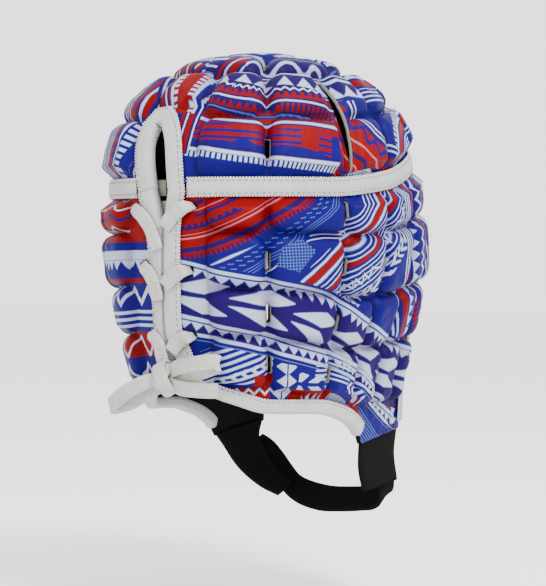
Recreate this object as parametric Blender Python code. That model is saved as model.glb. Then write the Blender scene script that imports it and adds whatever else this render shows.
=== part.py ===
"""Padded rugby scrum cap: two quilted shells, edge bindings, seam band, laced back slit and chin strap.

Metres, +Z up. The origin is the middle of the head at the level of the seam band. The wearer
looks along -Y, so the laced slit is at +Y and the wearer's right side is at -X.
"""

import math

import bmesh
import bpy
import numpy as np
from mathutils import Vector
from mathutils.geometry import delaunay_2d_cdt

# Head form: the inner face of the cap.
HEAD_WIDTH = 0.163
BACK_REACH = 0.099
FRONT_REACH = 0.098
CROWN_RISE = 0.073
CROWN_FULLNESS = 2.30
BACK_FULLNESS = 0.06
FRONT_LIFT = 0.024
NAPE_DROP = 0.1245
LEFT_LEAN = 0.0110

# Cloth and foam.
WALL = 0.0032
PAD_HEIGHT = 0.0075
PAD_SHOULDER = 0.0080
GAP = 0.0003
PAD_FADE = 0.0060
PAD_INSET = 0.0052

# Edge tape.
TAPE = 0.0013
TAPE_LEG = 0.0092
RIM_LEG = 0.0068
INNER_LEG = 0.7
TAPE_GAP = 0.0009
TAPE_CLEAR = 0.0012
TAPE_FOLD = 0.0015
BAND_WIDTH = 0.0102
BAND_SEAM = 0.0012

# Slit at the back.
SLIT_WIDE = 0.0130
SLIT_RISE = 0.037
SLIT_LEAN = 0.0065

# Vents.
VENT_LONG = 0.0110
VENT_WIDE = 0.0030
SIDE_VENT_WIDE = 0.0056
EYELET = 0.0052

# Lace.
LACE_WIDE = 0.0090
LACE_THICK = 0.0016
LACE_REACH = 0.0200

BOW_REACH = 0.0400
BOW_DROP = 0.0200
BOW_STAND = 0.0100
KNOT_TALL = 0.0190
KNOT_DROP = 0.865

# Chin strap.
STRAP_WIDE = 0.0200
STRAP_THICK = 0.0026
TAB_THICK = 0.0036
STRAP_REACH = 0.0560
STRAP_DROP = 0.0400

# One row per level of the head form below the band.
RINGS = (
    # level, drop, width, back reach, front reach, squareness of the front
    ("band", 0.00, 1.000, 1.000, 1.000, 2.0),
    ("temple", 0.18, 1.012, 0.990, 1.040, 2.1),
    ("ear", 0.36, 0.975, 0.985, 1.045, 2.3),
    ("occiput", 0.55, 0.885, 0.965, 1.010, 2.5),
    ("neck", 0.75, 0.780, 0.930, 1.000, 2.9),
    ("nape", 0.95, 0.710, 0.885, 0.990, 3.3),
    ("jaw", 1.25, 0.700, 0.850, 0.985, 3.5),
)

# How the band rises toward the forehead.
BAND_LINE = (
    # degrees from the back, share of the lift
    (0, 0.00),
    (60, 0.02),
    (90, 0.20),
    (125, 0.68),
    (155, 0.93),
    (180, 1.00),
)

# Lower edge of the side shell, from the slit forward to the tongue that carries the strap.
RIM_LINE = (
    # degrees from the back, share of the nape drop
    (0, 0.925),
    (10, 0.938),
    (20, 0.982),
    (36, 1.038),
    (50, 1.044),
    (66, 1.052),
    (80, 1.078),
    (90, 1.105),
    (98, 1.140),
    (103, 1.180),
    (106, 1.225),
)

# Front edge of the side shell, from the tip of the tongue up to the brow.
FACE_LINE = (
    # degrees from the back, share of the nape drop
    (144, 1.172),
    (146, 1.000),
    (146, 0.770),
    (145, 0.560),
    (145, 0.400),
    (147, 0.295),
    (152, 0.215),
    (160, 0.172),
    (170, 0.156),
    (180, 0.152),
)

# Edges of the slit below the band: they close, then part again at the rim.
SLIT_LINE = (
    # share of the nape drop, right edge, left edge as shares of the slit's width, left tape leg
    (0.000, 0.420, -0.560, 1.00),
    (0.110, 0.260, -0.300, 1.00),
    (0.200, 0.170, -0.120, 0.95),
    (0.420, 0.120, -0.165, 0.62),
    (0.660, 0.030, -0.255, 0.48),
    (0.740, 0.280, -0.160, 0.55),
    (0.925, 0.750, -0.050, 0.85),
)

# Runs of the lace over the slit, each from its hole to the gap.
LACE_RUNS = (
    # name, hole's reach, hole's drop, end's reach, end's drop
    ("right_1", 0.870, 0.085, 0.150, 0.185),
    ("left_1", -0.960, 0.085, -0.080, 0.285),
    ("right_2", 0.760, 0.380, 0.120, 0.450),
    ("left_2", -0.640, 0.350, -0.120, 0.515),
    ("right_3", 0.740, 0.680, 0.160, 0.750),
    ("left_3", -0.480, 0.660, -0.140, 0.800),
)

# The bow, from the middle of the knot: shares of its reach, its stand-off and its drop.
LEFT_LOOP = (
    # toward the left, away from the cloth, up, width
    (0.05, 0.06, 0.02, 0.75),
    (0.28, 0.55, -0.12, 0.95),
    (0.55, 0.75, -0.38, 1.00),
    (0.80, 0.60, -0.66, 1.00),
    (0.98, 0.25, -0.84, 1.00),
    (1.04, -0.10, -0.90, 1.00),
    (0.96, -0.32, -0.88, 1.00),
    (0.72, -0.25, -0.76, 1.00),
    (0.42, -0.05, -0.52, 0.90),
    (0.07, -0.10, -0.20, 0.75),
)
RIGHT_LOOP = (
    # toward the right, away from the cloth, up, width
    (0.05, 0.06, 0.14, 0.75),
    (0.30, 0.55, 0.34, 0.95),
    (0.55, 0.70, 0.42, 1.00),
    (0.76, 0.55, 0.50, 1.00),
    (0.88, 0.20, 0.52, 1.00),
    (0.90, -0.10, 0.46, 1.00),
    (0.80, -0.20, 0.36, 1.00),
    (0.56, 0.05, 0.18, 1.00),
    (0.34, 0.05, 0.10, 0.90),
    (0.07, -0.10, 0.04, 0.75),
)
RIGHT_TAIL = (
    # toward the right, away from the cloth, up, width
    (0.05, 0.10, -0.12, 0.80),
    (0.30, 0.32, -0.26, 1.00),
    (0.52, 0.20, -0.30, 1.00),
    (0.70, -0.10, -0.32, 1.00),
    (0.84, -0.42, -0.32, 1.00),
)

# Runs of the strap: shares of its reach to the left, behind the ears and below the tongue's tip.
TAB_RUN = (
    # toward the left, forward, down, width, turn of the width inward and up
    (0.79, 0.68, 0.10, 1.60, 0.16, 0.16),
    (0.73, 0.73, 0.33, 1.30, 0.25, 0.25),
    (0.63, 0.79, 0.55, 1.00, 0.40, 0.50),
    (0.49, 0.84, 0.73, 0.85, 0.40, 0.60),
    (0.34, 0.91, 0.87, 0.70, 0.30, 0.60),
)
STRAP_RUN = (
    # toward the left, forward, down, width, turn of the width inward and up
    (0.84, 1.04, 0.14, 0.70, 0.40, 0.50),
    (0.71, 1.05, 0.25, 0.70, 0.45, 0.60),
    (0.60, 1.07, 0.42, 0.70, 0.50, 0.65),
    (0.48, 1.07, 0.62, 0.72, 0.50, 0.70),
    (0.36, 1.07, 0.80, 0.80, 0.35, 0.80),
    (0.17, 1.07, 0.93, 0.95, 0.15, 0.90),
    (-0.10, 1.07, 1.00, 1.00, 0.05, 1.00),
    (-0.37, 1.07, 0.99, 1.00, 0.00, 1.00),
    (-0.63, 1.07, 0.96, 1.00, 0.00, 0.95),
    (-0.80, 1.07, 0.94, 0.95, 0.00, 0.80),
    (-0.885, 1.07, 0.86, 0.85, 0.00, 0.45),
    (-0.905, 1.05, 0.60, 0.75, 0.00, 0.05),
)

# Channels between the blocks, in degrees from the back.
SIDE_COLUMNS = (15.0, 35.5, 66.5, 90.0, 112.0, 129.0, 146.0, 163.0, 180.0)
CROWN_COLUMNS = (12.0, 35.5, 66.5, 92.0, 117.0, 138.0, 159.0, 180.0)
TOP_COLUMNS = (35.5, 92.0, 138.0)

# Channels between the rows, as shares of the way from the band to ROW_DEPTH.
SIDE_ROWS = (0.000, 0.203, 0.450, 0.665, 0.910)
CROWN_ROWS = (0.000, 0.330, 0.600, 0.800)

ROW_DEPTH = (
    # degrees from the back, share of the nape drop
    (0, 1.000),
    (20, 1.010),
    (50, 1.060),
    (78, 1.130),
    (110, 1.150),
    (180, 1.150),
)

# Radii of the two flat patterns on which the cloth is laid out.
UNROLLED = 0.090
DISC = 0.115


def smooth_table(x, rows, column):
    """Value of a table at x, by cubic pieces that add no bump between the rows."""
    xs = np.array([row[0] for row in rows], float)
    ys = np.array([row[column] for row in rows], float)
    step = np.diff(xs)
    slope = np.diff(ys) / step
    tangent = np.concatenate([slope[:1], np.zeros(len(xs) - 2), slope[-1:]])
    for i in range(1, len(xs) - 1):
        if slope[i - 1] * slope[i] > 0:
            near = 2 * step[i] + step[i - 1]
            far = step[i] + 2 * step[i - 1]
            tangent[i] = (near + far) / (near / slope[i - 1] + far / slope[i])
    x = np.clip(x, xs[0], xs[-1])
    i = np.clip(np.searchsorted(xs, x, side="right") - 1, 0, len(step) - 1)
    t = (x - xs[i]) / step[i]
    return (
        (1 + 2 * t) * (1 - t) ** 2 * ys[i]
        + t * (1 - t) ** 2 * step[i] * tangent[i]
        + t * t * (3 - 2 * t) * ys[i + 1]
        + t * t * (t - 1) * step[i] * tangent[i + 1]
    )


def from_back(angle):
    """Degrees from the back, 0 to 180, on either side."""
    turned = (np.asarray(angle, float) + math.pi) % math.tau - math.pi
    return np.abs(np.degrees(turned))


def band_height(angle):
    """Height of the seam band at an angle."""
    return FRONT_LIFT * smooth_table(from_back(angle), BAND_LINE, 1)


def crown_power(angle):
    """How square the crown's side view is: fuller at the back than at the front."""
    return CROWN_FULLNESS + BACK_FULLNESS * np.cos(angle)


def crown_shrink(angle, z):
    """Share of the head's reach that is left at this height above the band."""
    power = crown_power(angle)
    return (1 - np.clip(z / CROWN_RISE, 0, 1) ** power) ** (1 / power)


def crown_start(angle):
    """Turn of the crown's side view at which the seam lies."""
    lift = band_height(angle)
    return np.arctan2(lift / CROWN_RISE, crown_shrink(angle, lift))


def height_of_climb(angle, climb):
    """Height at a share of the way from the seam to the apex."""
    start = crown_start(angle)
    turn = start + (math.pi / 2 - start) * np.clip(climb, -0.2, 1)
    power = crown_power(angle)
    out, up = np.cos(turn), np.sin(turn)
    reach = (np.abs(out) ** power + np.abs(up) ** power) ** (-1 / power)
    return CROWN_RISE * reach * up


def climb_of_height(angle, z):
    """Share of the way from the seam to the apex at this height."""
    start = crown_start(angle)
    turn = np.arctan2(z / CROWN_RISE, crown_shrink(angle, z))
    return (turn - start) / (math.pi / 2 - start)


def head_point(angle, z):
    """Point of the inner face, at this angle from the back toward the wearer's right."""
    drop = np.clip(-z / NAPE_DROP, 0, None)
    rings = [row[1:] for row in RINGS]
    width = smooth_table(drop, rings, 1) * HEAD_WIDTH / 2
    back = smooth_table(drop, rings, 2) * BACK_REACH
    front = smooth_table(drop, rings, 3) * FRONT_REACH
    square = smooth_table(drop, rings, 4)
    behind = np.cos(angle) >= 0
    reach = np.where(behind, back, front)
    power = np.where(behind, 2.0, square)
    across = np.abs(np.sin(angle) / width) ** power
    along = np.abs(np.cos(angle) / reach) ** power
    radius = (across + along) ** (-1 / power) * crown_shrink(angle, z)
    low = np.clip((drop - 0.68) / 0.60, 0, 1.2)
    lean = LEFT_LEAN * np.clip(-np.sin(angle), 0, 1) * low**2 * (3 - 2 * np.minimum(low, 1))
    return np.stack([-radius * np.sin(angle) - lean, radius * np.cos(angle), z + 0 * radius], axis=-1)


class SidePattern:
    """The wall below the band, unrolled: x is the angle times UNROLLED, y is the height."""

    @staticmethod
    def surface(flat):
        return head_point(flat[..., 0] / UNROLLED, flat[..., 1])

    @staticmethod
    def at(degrees, share):
        """Flat place of an angle and a share of the nape drop."""
        return np.array([math.radians(degrees) * UNROLLED, -share * NAPE_DROP])


class CrownPattern:
    """The dome above the band as a disc: the radius runs from the apex to the band."""

    @staticmethod
    def surface(flat):
        angle = np.arctan2(flat[..., 0], flat[..., 1])
        climb = 1 - np.hypot(flat[..., 0], flat[..., 1]) / DISC
        return head_point(angle, height_of_climb(angle, climb))

    @staticmethod
    def at(degrees, climb):
        angle = math.radians(degrees)
        return (1 - climb) * DISC * np.array([math.sin(angle), math.cos(angle)])


def frame_at(pattern, flat):
    """Points, outward normals and the two edge vectors of the inner face over flat places."""
    step = 2e-4
    flat = np.asarray(flat, float)
    across = pattern.surface(flat + (step, 0)) - pattern.surface(flat - (step, 0))
    along = pattern.surface(flat + (0, step)) - pattern.surface(flat - (0, step))
    normal = np.cross(across, along)
    size = np.linalg.norm(normal, axis=-1, keepdims=True)
    normal = normal / np.maximum(size, 1e-12)
    points = pattern.surface(flat)
    inward = np.sum(normal * (points - (0, 0, -0.02)), axis=-1, keepdims=True) < 0
    return points, np.where(inward, -normal, normal), across / (2 * step), along / (2 * step)


def lifted(pattern, flat, height):
    """Space places at a height over the head form, from flat places."""
    points, normal, _, _ = frame_at(pattern, flat)
    return points + normal * np.asarray(height)[..., None]


def distance_to(flat, line):
    """Least distance from each flat place to a polyline."""
    flat = np.asarray(flat, float)
    start = line[:-1]
    reach = line[1:] - start
    size = np.maximum((reach**2).sum(axis=1), 1e-18)
    share = ((flat[:, None, :] - start) * reach).sum(axis=2) / size
    near = start + np.clip(share, 0, 1)[..., None] * reach
    return np.linalg.norm(flat[:, None, :] - near, axis=2).min(axis=1)


def inside(flat, loop):
    """Which flat places lie within a closed loop."""
    after = np.roll(loop, -1, axis=0)
    x, y = flat[:, 0, None], flat[:, 1, None]
    spans = (loop[:, 1] > y) != (after[:, 1] > y)
    rise = after[:, 1] - loop[:, 1]
    crossing = loop[:, 0] + (y - loop[:, 1]) * (after[:, 0] - loop[:, 0]) / np.where(rise == 0, 1, rise)
    return ((spans & (x < crossing)).sum(axis=1) % 2).astype(bool)


def resampled(line, step):
    """The same polyline with points about this far apart."""
    line = np.asarray(line, float)
    length = np.concatenate([[0], np.cumsum(np.linalg.norm(np.diff(line, axis=0), axis=1))])
    count = max(1, round(length[-1] / step))
    marks = np.linspace(0, length[-1], count + 1)
    return np.stack([np.interp(marks, length, line[:, k]) for k in (0, 1)], axis=1)


def rounded(line, rounds=2):
    """Corner cutting that keeps both ends."""
    for _ in range(rounds):
        near = line[:-1] * 0.75 + line[1:] * 0.25
        far = line[:-1] * 0.25 + line[1:] * 0.75
        line = np.concatenate([line[:1], np.stack([near, far], axis=1).reshape(-1, 2), line[-1:]])
    return line


def tidy(obj):
    """Faces the mesh outward."""
    work = bmesh.new()
    work.from_mesh(obj.data)
    bmesh.ops.remove_doubles(work, verts=work.verts, dist=1e-6)
    bmesh.ops.recalc_face_normals(work, faces=work.faces)
    if work.calc_volume(signed=True) < 0:
        bmesh.ops.reverse_faces(work, faces=work.faces)
    work.to_mesh(obj.data)
    work.free()


def make_material(name, color, roughness=0.8):
    """A plain Principled material."""
    material = bpy.data.materials.new(name)
    material.use_nodes = True
    shader = material.node_tree.nodes["Principled BSDF"]
    shader.inputs["Base Color"].default_value = (*color, 1.0)
    shader.inputs["Roughness"].default_value = roughness
    return material


def add_mesh(name, points, faces, material):
    """A mesh object in the parts collection."""
    mesh = bpy.data.meshes.new(name)
    mesh.from_pydata([tuple(map(float, p)) for p in points], [], [tuple(map(int, f)) for f in faces])
    obj = bpy.data.objects.new(name, mesh)
    obj.data.materials.append(material)
    PARTS.objects.link(obj)
    tidy(obj)
    return obj


def triangulated(loops, places):
    """Triangles over the first loop less the others, through the loose places as well."""
    points = [p for loop in loops for p in loop]
    edges = []
    first = 0
    for loop in loops:
        count = len(loop)
        edges += [(first + i, first + (i + 1) % count) for i in range(count)]
        first += count
    flat = np.array(points + list(places))
    result = delaunay_2d_cdt([Vector(p) for p in flat], edges, [], 0, 1e-7)
    made = np.array([tuple(v) for v in result[0]])
    sources = result[3]
    index = np.array([source[0] if source else -1 for source in sources])
    if (index < 0).any():
        raise ValueError("the outline crosses itself")
    faces = np.array([tuple(face) for face in result[2]])
    middle = made[faces].mean(axis=1)
    keep = inside(middle, np.array(loops[0]))
    for hole in loops[1:]:
        keep &= ~inside(middle, np.array(hole))
    return index[faces[keep]]


def shell(name, pattern, loops, fine, coarse, height, material):
    """Closed solid between the inner face and the padded outer face, over one flat pattern."""
    rim = np.concatenate([np.array(loop) for loop in loops])
    outline = [np.vstack([loop, loop[:1]]) for loop in map(np.array, loops)]

    def clear(places, room):
        places = np.array(places)
        keep = inside(places, np.array(loops[0]))
        for line in outline:
            keep &= distance_to(places, line) > room
        for hole in loops[1:]:
            keep &= ~inside(places, np.array(hole))
        return places[keep]

    fine = clear(fine, 0.0016)
    coarse = clear(coarse, 0.0040)
    outer_flat = np.concatenate([rim, fine])
    inner_flat = np.concatenate([rim, coarse])
    outer_faces = triangulated(loops, fine)
    inner_faces = triangulated(loops, coarse)
    outer = lifted(pattern, outer_flat, WALL + height(outer_flat))
    inner = lifted(pattern, inner_flat, np.zeros(len(inner_flat)))
    count = len(outer)
    faces = [tuple(face) for face in outer_faces]
    faces += [tuple(face[::-1] + count) for face in inner_faces]
    first = 0
    for loop in loops:
        size = len(loop)
        for i in range(size):
            a, b = first + i, first + (i + 1) % size
            faces.append((a, b, b + count, a + count))
        first += size
    return add_mesh(name, np.concatenate([outer, inner]), faces, material)


def pillow(distance, width):
    """Rise of a block from its channel, 0 to 1."""
    share = np.clip(distance / width, 0, 1)
    return np.sqrt(1 - (1 - share) ** 2)


def row_height(angle, share):
    """Height of a row channel of the side shell."""
    top = band_height(angle)
    low = -NAPE_DROP * smooth_table(from_back(angle), ROW_DEPTH, 1)
    return top + (low - top) * share


def both_sides(degrees):
    """Channel angles of both sides as radians between 0 and a full turn, in order."""
    angles = {round(d, 4) for d in degrees} | {round(360 - d, 4) for d in degrees}
    return np.radians(sorted(angles))


def block_marks(lines, inset):
    """Coordinates across a run of blocks: each channel, a shoulder on both sides and the middle."""
    marks = []
    for a, b in zip(lines[:-1], lines[1:]):
        marks += [a, a + inset, (a + b) / 2, b - inset]
    return marks + [lines[-1]]


def slot(pattern, place, long, wide, lean=0.0, sides=3):
    """Loop of a rounded slot, sized on the real surface, its long side near upright."""
    _, _, across, along = frame_at(pattern, place)
    basis = np.stack([across, along], axis=1)
    metric = basis.T @ basis
    up = pattern_up(pattern, place)
    side = np.linalg.solve(metric, np.array([[0, -1], [1, 0]]) @ up)
    up = up / np.sqrt(up @ metric @ up)
    side = side / np.sqrt(side @ metric @ side)
    loop = []
    for end in (0, 1):
        for k in range(sides + 1):
            angle = math.pi * (k / sides + end)
            x = math.cos(angle) * wide / 2
            y = math.sin(angle) * wide / 2 + (0.5 - end) * (long - wide)
            turn = math.cos(lean), math.sin(lean)
            loop.append(place + side * (x * turn[0] - y * turn[1]) + up * (x * turn[1] + y * turn[0]))
    return np.array(loop)


def pattern_up(pattern, place):
    """Flat direction that climbs toward the crown."""
    if pattern is SidePattern:
        return np.array([0.0, 1.0])
    return -place / np.linalg.norm(place)


def mirrored(line):
    """The same flat line on the wearer's left."""
    return np.stack([math.tau * UNROLLED - line[:, 0], line[:, 1]], axis=1)


def slit_edge(column):
    """One edge of the slit below the band, from the band down to the rim, x from the back's middle."""
    shares = np.linspace(BAND_SEAM / 2 / NAPE_DROP, SLIT_LINE[-1][0], 13)
    reach = SLIT_WIDE * smooth_table(shares, SLIT_LINE, column)
    return np.stack([reach, -shares * NAPE_DROP], axis=1)


def rim_edge():
    """Lower edge of the right side, from the slit forward to the tip of the tongue."""
    marks = np.concatenate([np.arange(13, 88, 6.4), np.arange(89, 106, 3.4), [106]])
    depth = NAPE_DROP * smooth_table(marks, RIM_LINE, 1)
    return np.stack([np.radians(marks) * UNROLLED, -depth], axis=1)


def face_edge():
    """Front edge of the right side, from the tip of the tongue up to the middle of the brow."""
    return resampled(rounded(np.array([SidePattern.at(*row) for row in FACE_LINE])), 0.0080)


def side_outline():
    """The whole outline of the side shell, round from the slit."""
    tip = resampled([rim_edge()[-1], face_edge()[0]], 0.009)[1:-1]
    right = np.concatenate([rim_edge(), tip, face_edge()])
    right_slit = slit_edge(1)
    left_slit = slit_edge(2) + (math.tau * UNROLLED, 0)
    turns = np.linspace(left_slit[0][0], right_slit[0][0], 61)[1:-1] / UNROLLED
    band = np.stack([turns * UNROLLED, band_height(turns) - BAND_SEAM / 2], axis=1)
    return np.concatenate([right_slit, right, mirrored(right)[::-1][1:], left_slit[::-1], band])


def slit_arch():
    """Slit edge above the band on the crown's disc, from the right foot over the top to the left."""
    top = (1 - float(climb_of_height(0.0, SLIT_RISE))) * DISC
    run = DISC - top
    scale = SLIT_WIDE * DISC / BACK_REACH
    half = (SLIT_LINE[0][1] - SLIT_LINE[0][2]) / 2
    middle = (SLIT_LINE[0][1] + SLIT_LINE[0][2]) / 2
    right = [(half, DISC), (half, top + 0.55 * run), (half * 0.84, top + 0.25 * run), (half * 0.26, top)]
    right = resampled(rounded(np.array(right) * (scale, 1)), 0.0048)
    arch = np.concatenate([right, right[::-1] * (-1, 1)])
    lean = SLIT_LEAN * (DISC - arch[:, 1]) / run
    return arch + np.stack([middle * scale - lean, 0 * lean], axis=1)


def crown_outline():
    """The whole outline of the crown on its disc."""
    arch = slit_arch()
    start = math.atan2(arch[0][0], arch[0][1])
    turns = np.linspace(math.tau - start, start, 61)[1:-1]
    circle = DISC * np.stack([np.sin(turns), np.cos(turns)], axis=1)
    loop = np.concatenate([arch, circle])
    return loop * (1 - BAND_SEAM / 2 / DISC)


def past_band(rise):
    """0 under the seam band and 1 where the blocks stand full, from the height over the seam."""
    return np.clip((np.abs(rise) - BAND_WIDTH / 2 - TAPE_CLEAR) / PAD_FADE, 0, 1)


def past_tape(flat, edges):
    """0 under the edge tapes and 1 where the blocks stand full."""
    near = np.min([distance_to(flat, edge) - leg for edge, leg in edges], axis=0)
    return np.clip((near - TAPE_FOLD) / PAD_FADE, 0, 1)


def taped_edges():
    """The taped edges of the side pattern: places, the side on which the cloth lies, the leg."""
    turn = (math.tau * UNROLLED, 0)
    return (
        (slit_edge(1), 1, TAPE_LEG),
        (slit_edge(2) + turn, -1, TAPE_LEG),
        (rim_edge(), 1, RIM_LEG),
        (mirrored(rim_edge()), -1, RIM_LEG),
        (face_edge(), 1, RIM_LEG),
        (mirrored(face_edge()), -1, RIM_LEG),
    )


def beside(pattern, edge, inner_side, reach):
    """Flat places at this real distance from an edge, on its cloth side."""
    tangent = np.gradient(edge, axis=0)
    inward = np.stack([-tangent[:, 1], tangent[:, 0]], axis=1) * inner_side
    _, _, across, along = frame_at(pattern, edge)
    size = np.linalg.norm(across * inward[:, :1] + along * inward[:, 1:], axis=1, keepdims=True)
    return edge + inward / size * reach


def side_height():
    """Pad height over the side pattern as a function of flat places."""
    edges = [(edge, leg) for edge, _, leg in taped_edges()]
    columns = both_sides(SIDE_COLUMNS)

    def height(flat):
        angle = flat[:, 0] / UNROLLED
        top = band_height(angle)
        low = -NAPE_DROP * smooth_table(from_back(angle), ROW_DEPTH, 1)
        share = (top - flat[:, 1]) / (top - low)
        rows = np.abs(share[:, None] - SIDE_ROWS).min(axis=1) * (top - low)
        across = np.abs(angle[:, None] - columns).min(axis=1) * UNROLLED * 0.9
        rise = pillow(rows, PAD_SHOULDER) * pillow(across, PAD_SHOULDER)
        rise *= past_band(flat[:, 1] - top) * past_tape(flat, edges)
        plain = (share > SIDE_ROWS[-1]) | (from_back(angle) < SIDE_COLUMNS[0])
        return PAD_HEIGHT * np.where(plain, 0, rise)

    return height


def crown_height(outline):
    """Pad height over the crown's disc as a function of flat places."""
    arch = outline[: len(slit_arch())]
    columns, top_columns = both_sides(CROWN_COLUMNS), both_sides(TOP_COLUMNS)

    def height(flat):
        angle = np.arctan2(flat[:, 0], flat[:, 1]) % math.tau
        out = np.hypot(flat[:, 0], flat[:, 1])
        climb = 1 - out / DISC
        rows = np.abs(climb[:, None] - CROWN_ROWS).min(axis=1) * DISC
        across = np.abs(angle[:, None] - columns).min(axis=1) * out
        top_across = np.abs(angle[:, None] - top_columns).min(axis=1) * out
        across = np.where(climb < CROWN_ROWS[2], across, top_across)
        across = np.where(climb < CROWN_ROWS[3], across, 1.0)
        rise = pillow(rows, PAD_SHOULDER) * pillow(across, PAD_SHOULDER)
        up = height_of_climb(angle, climb) - band_height(angle)
        rise *= past_band(up) * past_tape(flat, [(arch, TAPE_LEG)])
        return PAD_HEIGHT * np.where(from_back(angle) < CROWN_COLUMNS[0] * (climb < 0.4), 0, rise)

    return height


def side_places(detail):
    """Loose places of the side pattern: across the blocks if detail, else a plain net."""
    columns = [c for c in both_sides(SIDE_COLUMNS)]
    if detail:
        angles = block_marks(columns, PAD_INSET / UNROLLED)
        shares = block_marks(SIDE_ROWS, 0.040)[2:] + [1.0, 1.06]
    else:
        angles = block_marks(columns, 0)[::2]
        shares = [0.05, 0.2, 0.35, 0.5, 0.65, 0.8, 0.93, 1.03]
    places = [(a * UNROLLED, row_height(a, s)) for a in sorted(set(angles)) for s in shares]
    for edge, inner_side, leg in taped_edges():
        reach = leg * (1 if detail else INNER_LEG) + TAPE_CLEAR
        places += list(resampled(beside(SidePattern, edge, inner_side, reach), PAD_FADE))
    if detail:
        under = BAND_WIDTH / 2 + TAPE_CLEAR
        turns = np.linspace(0, math.tau, 85)[1:-1]
        places += [(a * UNROLLED, band_height(a) - under) for a in turns]
    return places


def crown_places(detail):
    """Loose places of the crown's disc: across the blocks if detail, else a plain net."""
    places = [np.zeros(2)]
    leg = TAPE_LEG * (1 if detail else INNER_LEG) + TAPE_CLEAR
    places += list(resampled(beside(CrownPattern, slit_arch(), 1, leg), 0.0066))
    if not detail:
        for climb in (0.08, 0.25, 0.42, 0.60, 0.78):
            turns = 30 if climb < 0.5 else 16
            places += [on_disc(math.tau * i / turns, climb) for i in range(turns)]
        return places
    inset = PAD_INSET
    low_columns, top_columns = list(both_sides(CROWN_COLUMNS)), list(both_sides(TOP_COLUMNS))
    under = BAND_WIDTH / 2 + TAPE_CLEAR
    for angle in np.linspace(0, math.tau, 85)[1:-1]:
        climb = float(climb_of_height(angle, band_height(angle) + under))
        places.append(on_disc(angle, climb))
    for climb in block_marks(CROWN_ROWS, inset / DISC * 1.3)[2:]:
        chosen = low_columns if climb <= CROWN_ROWS[2] + 1e-6 else top_columns
        chosen = chosen + [chosen[0] + math.tau]
        for angle in block_marks(chosen, inset / ((1 - climb) * DISC)):
            places.append(on_disc(angle, climb))
    for climb, turns in ((0.86, 14), (0.93, 7)):
        places += [on_disc(math.tau * (i + 0.5) / turns, climb) for i in range(turns)]
    return places


def on_disc(angle, climb):
    """Flat place on the crown's disc."""
    return (1 - climb) * DISC * np.array([math.sin(angle), math.cos(angle)])


SIDE_VENTS = (
    # channel in degrees from the back, row
    (35.5, 1),
    (35.5, 2),
    (35.5, 3),
    (66.5, 0),
    (66.5, 1),
    (66.5, 2),
    (66.5, 3),
    (90.0, 1),
    (90.0, 2),
    (112.0, 2),
    (112.0, 3),
    (129.0, 1),
    (129.0, 2),
)

CROWN_VENTS = (
    # channel in degrees from the back, climb
    (35.5, 0.18),
    (92.0, 0.18),
    (138.0, 0.18),
    (35.5, 0.70),
    (138.0, 0.70),
)

def side_holes():
    """Loops of the vents and the lace holes of the side shell, on both sides."""
    loops = []
    for degrees, row in SIDE_VENTS:
        for angle in (math.radians(degrees), math.tau - math.radians(degrees)):
            share = (SIDE_ROWS[row] + SIDE_ROWS[row + 1]) / 2
            place = np.array([angle * UNROLLED, float(row_height(angle, share))])
            loops.append(slot(SidePattern, place, VENT_LONG, VENT_WIDE, sides=2))
    for _, reach, drop, _, _ in LACE_RUNS:
        x = reach * LACE_REACH % (math.tau * UNROLLED)
        place = np.array([x, -drop * NAPE_DROP])
        loops.append(slot(SidePattern, place, EYELET + 1e-5, EYELET, sides=3))
    return loops


def crown_holes():
    """Loops of the two long side vents and the short vents of the crown."""
    loops = []
    for side in (1, -1):
        low = on_disc(side * math.radians(69), 0.06)
        high = on_disc(side * math.radians(66), 0.56)
        across = np.array([-(high - low)[1], (high - low)[0]]) / np.linalg.norm(high - low)
        shares = (0.0, 0.12, 0.35, 0.65, 0.88, 1.0)
        widths = [SIDE_VENT_WIDE * math.sin(math.pi * (0.06 + 0.88 * s)) for s in shares]
        edge = [low + (high - low) * s for s in shares]
        loop = [p + across * w / 2 for p, w in zip(edge, widths)]
        loop += [p - across * w / 2 for p, w in zip(edge[::-1], widths[::-1])]
        loops.append(np.array(loop))
        for degrees, climb in CROWN_VENTS:
            place = on_disc(side * math.radians(degrees), climb)
            loops.append(slot(CrownPattern, place, VENT_LONG, VENT_WIDE, sides=2))
    return loops


def sweep(name, sections, material):
    """Closed solid through equal rings of points."""
    count = len(sections[0])
    points = [p for section in sections for p in section]
    faces = [tuple(range(count))[::-1], tuple(range(len(points) - count, len(points)))]
    for a in range(0, len(points) - count, count):
        for k in range(count):
            n = (k + 1) % count
            faces.append((a + k, a + n, a + n + count, a + k + count))
    return add_mesh(name, points, faces, material)


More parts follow.
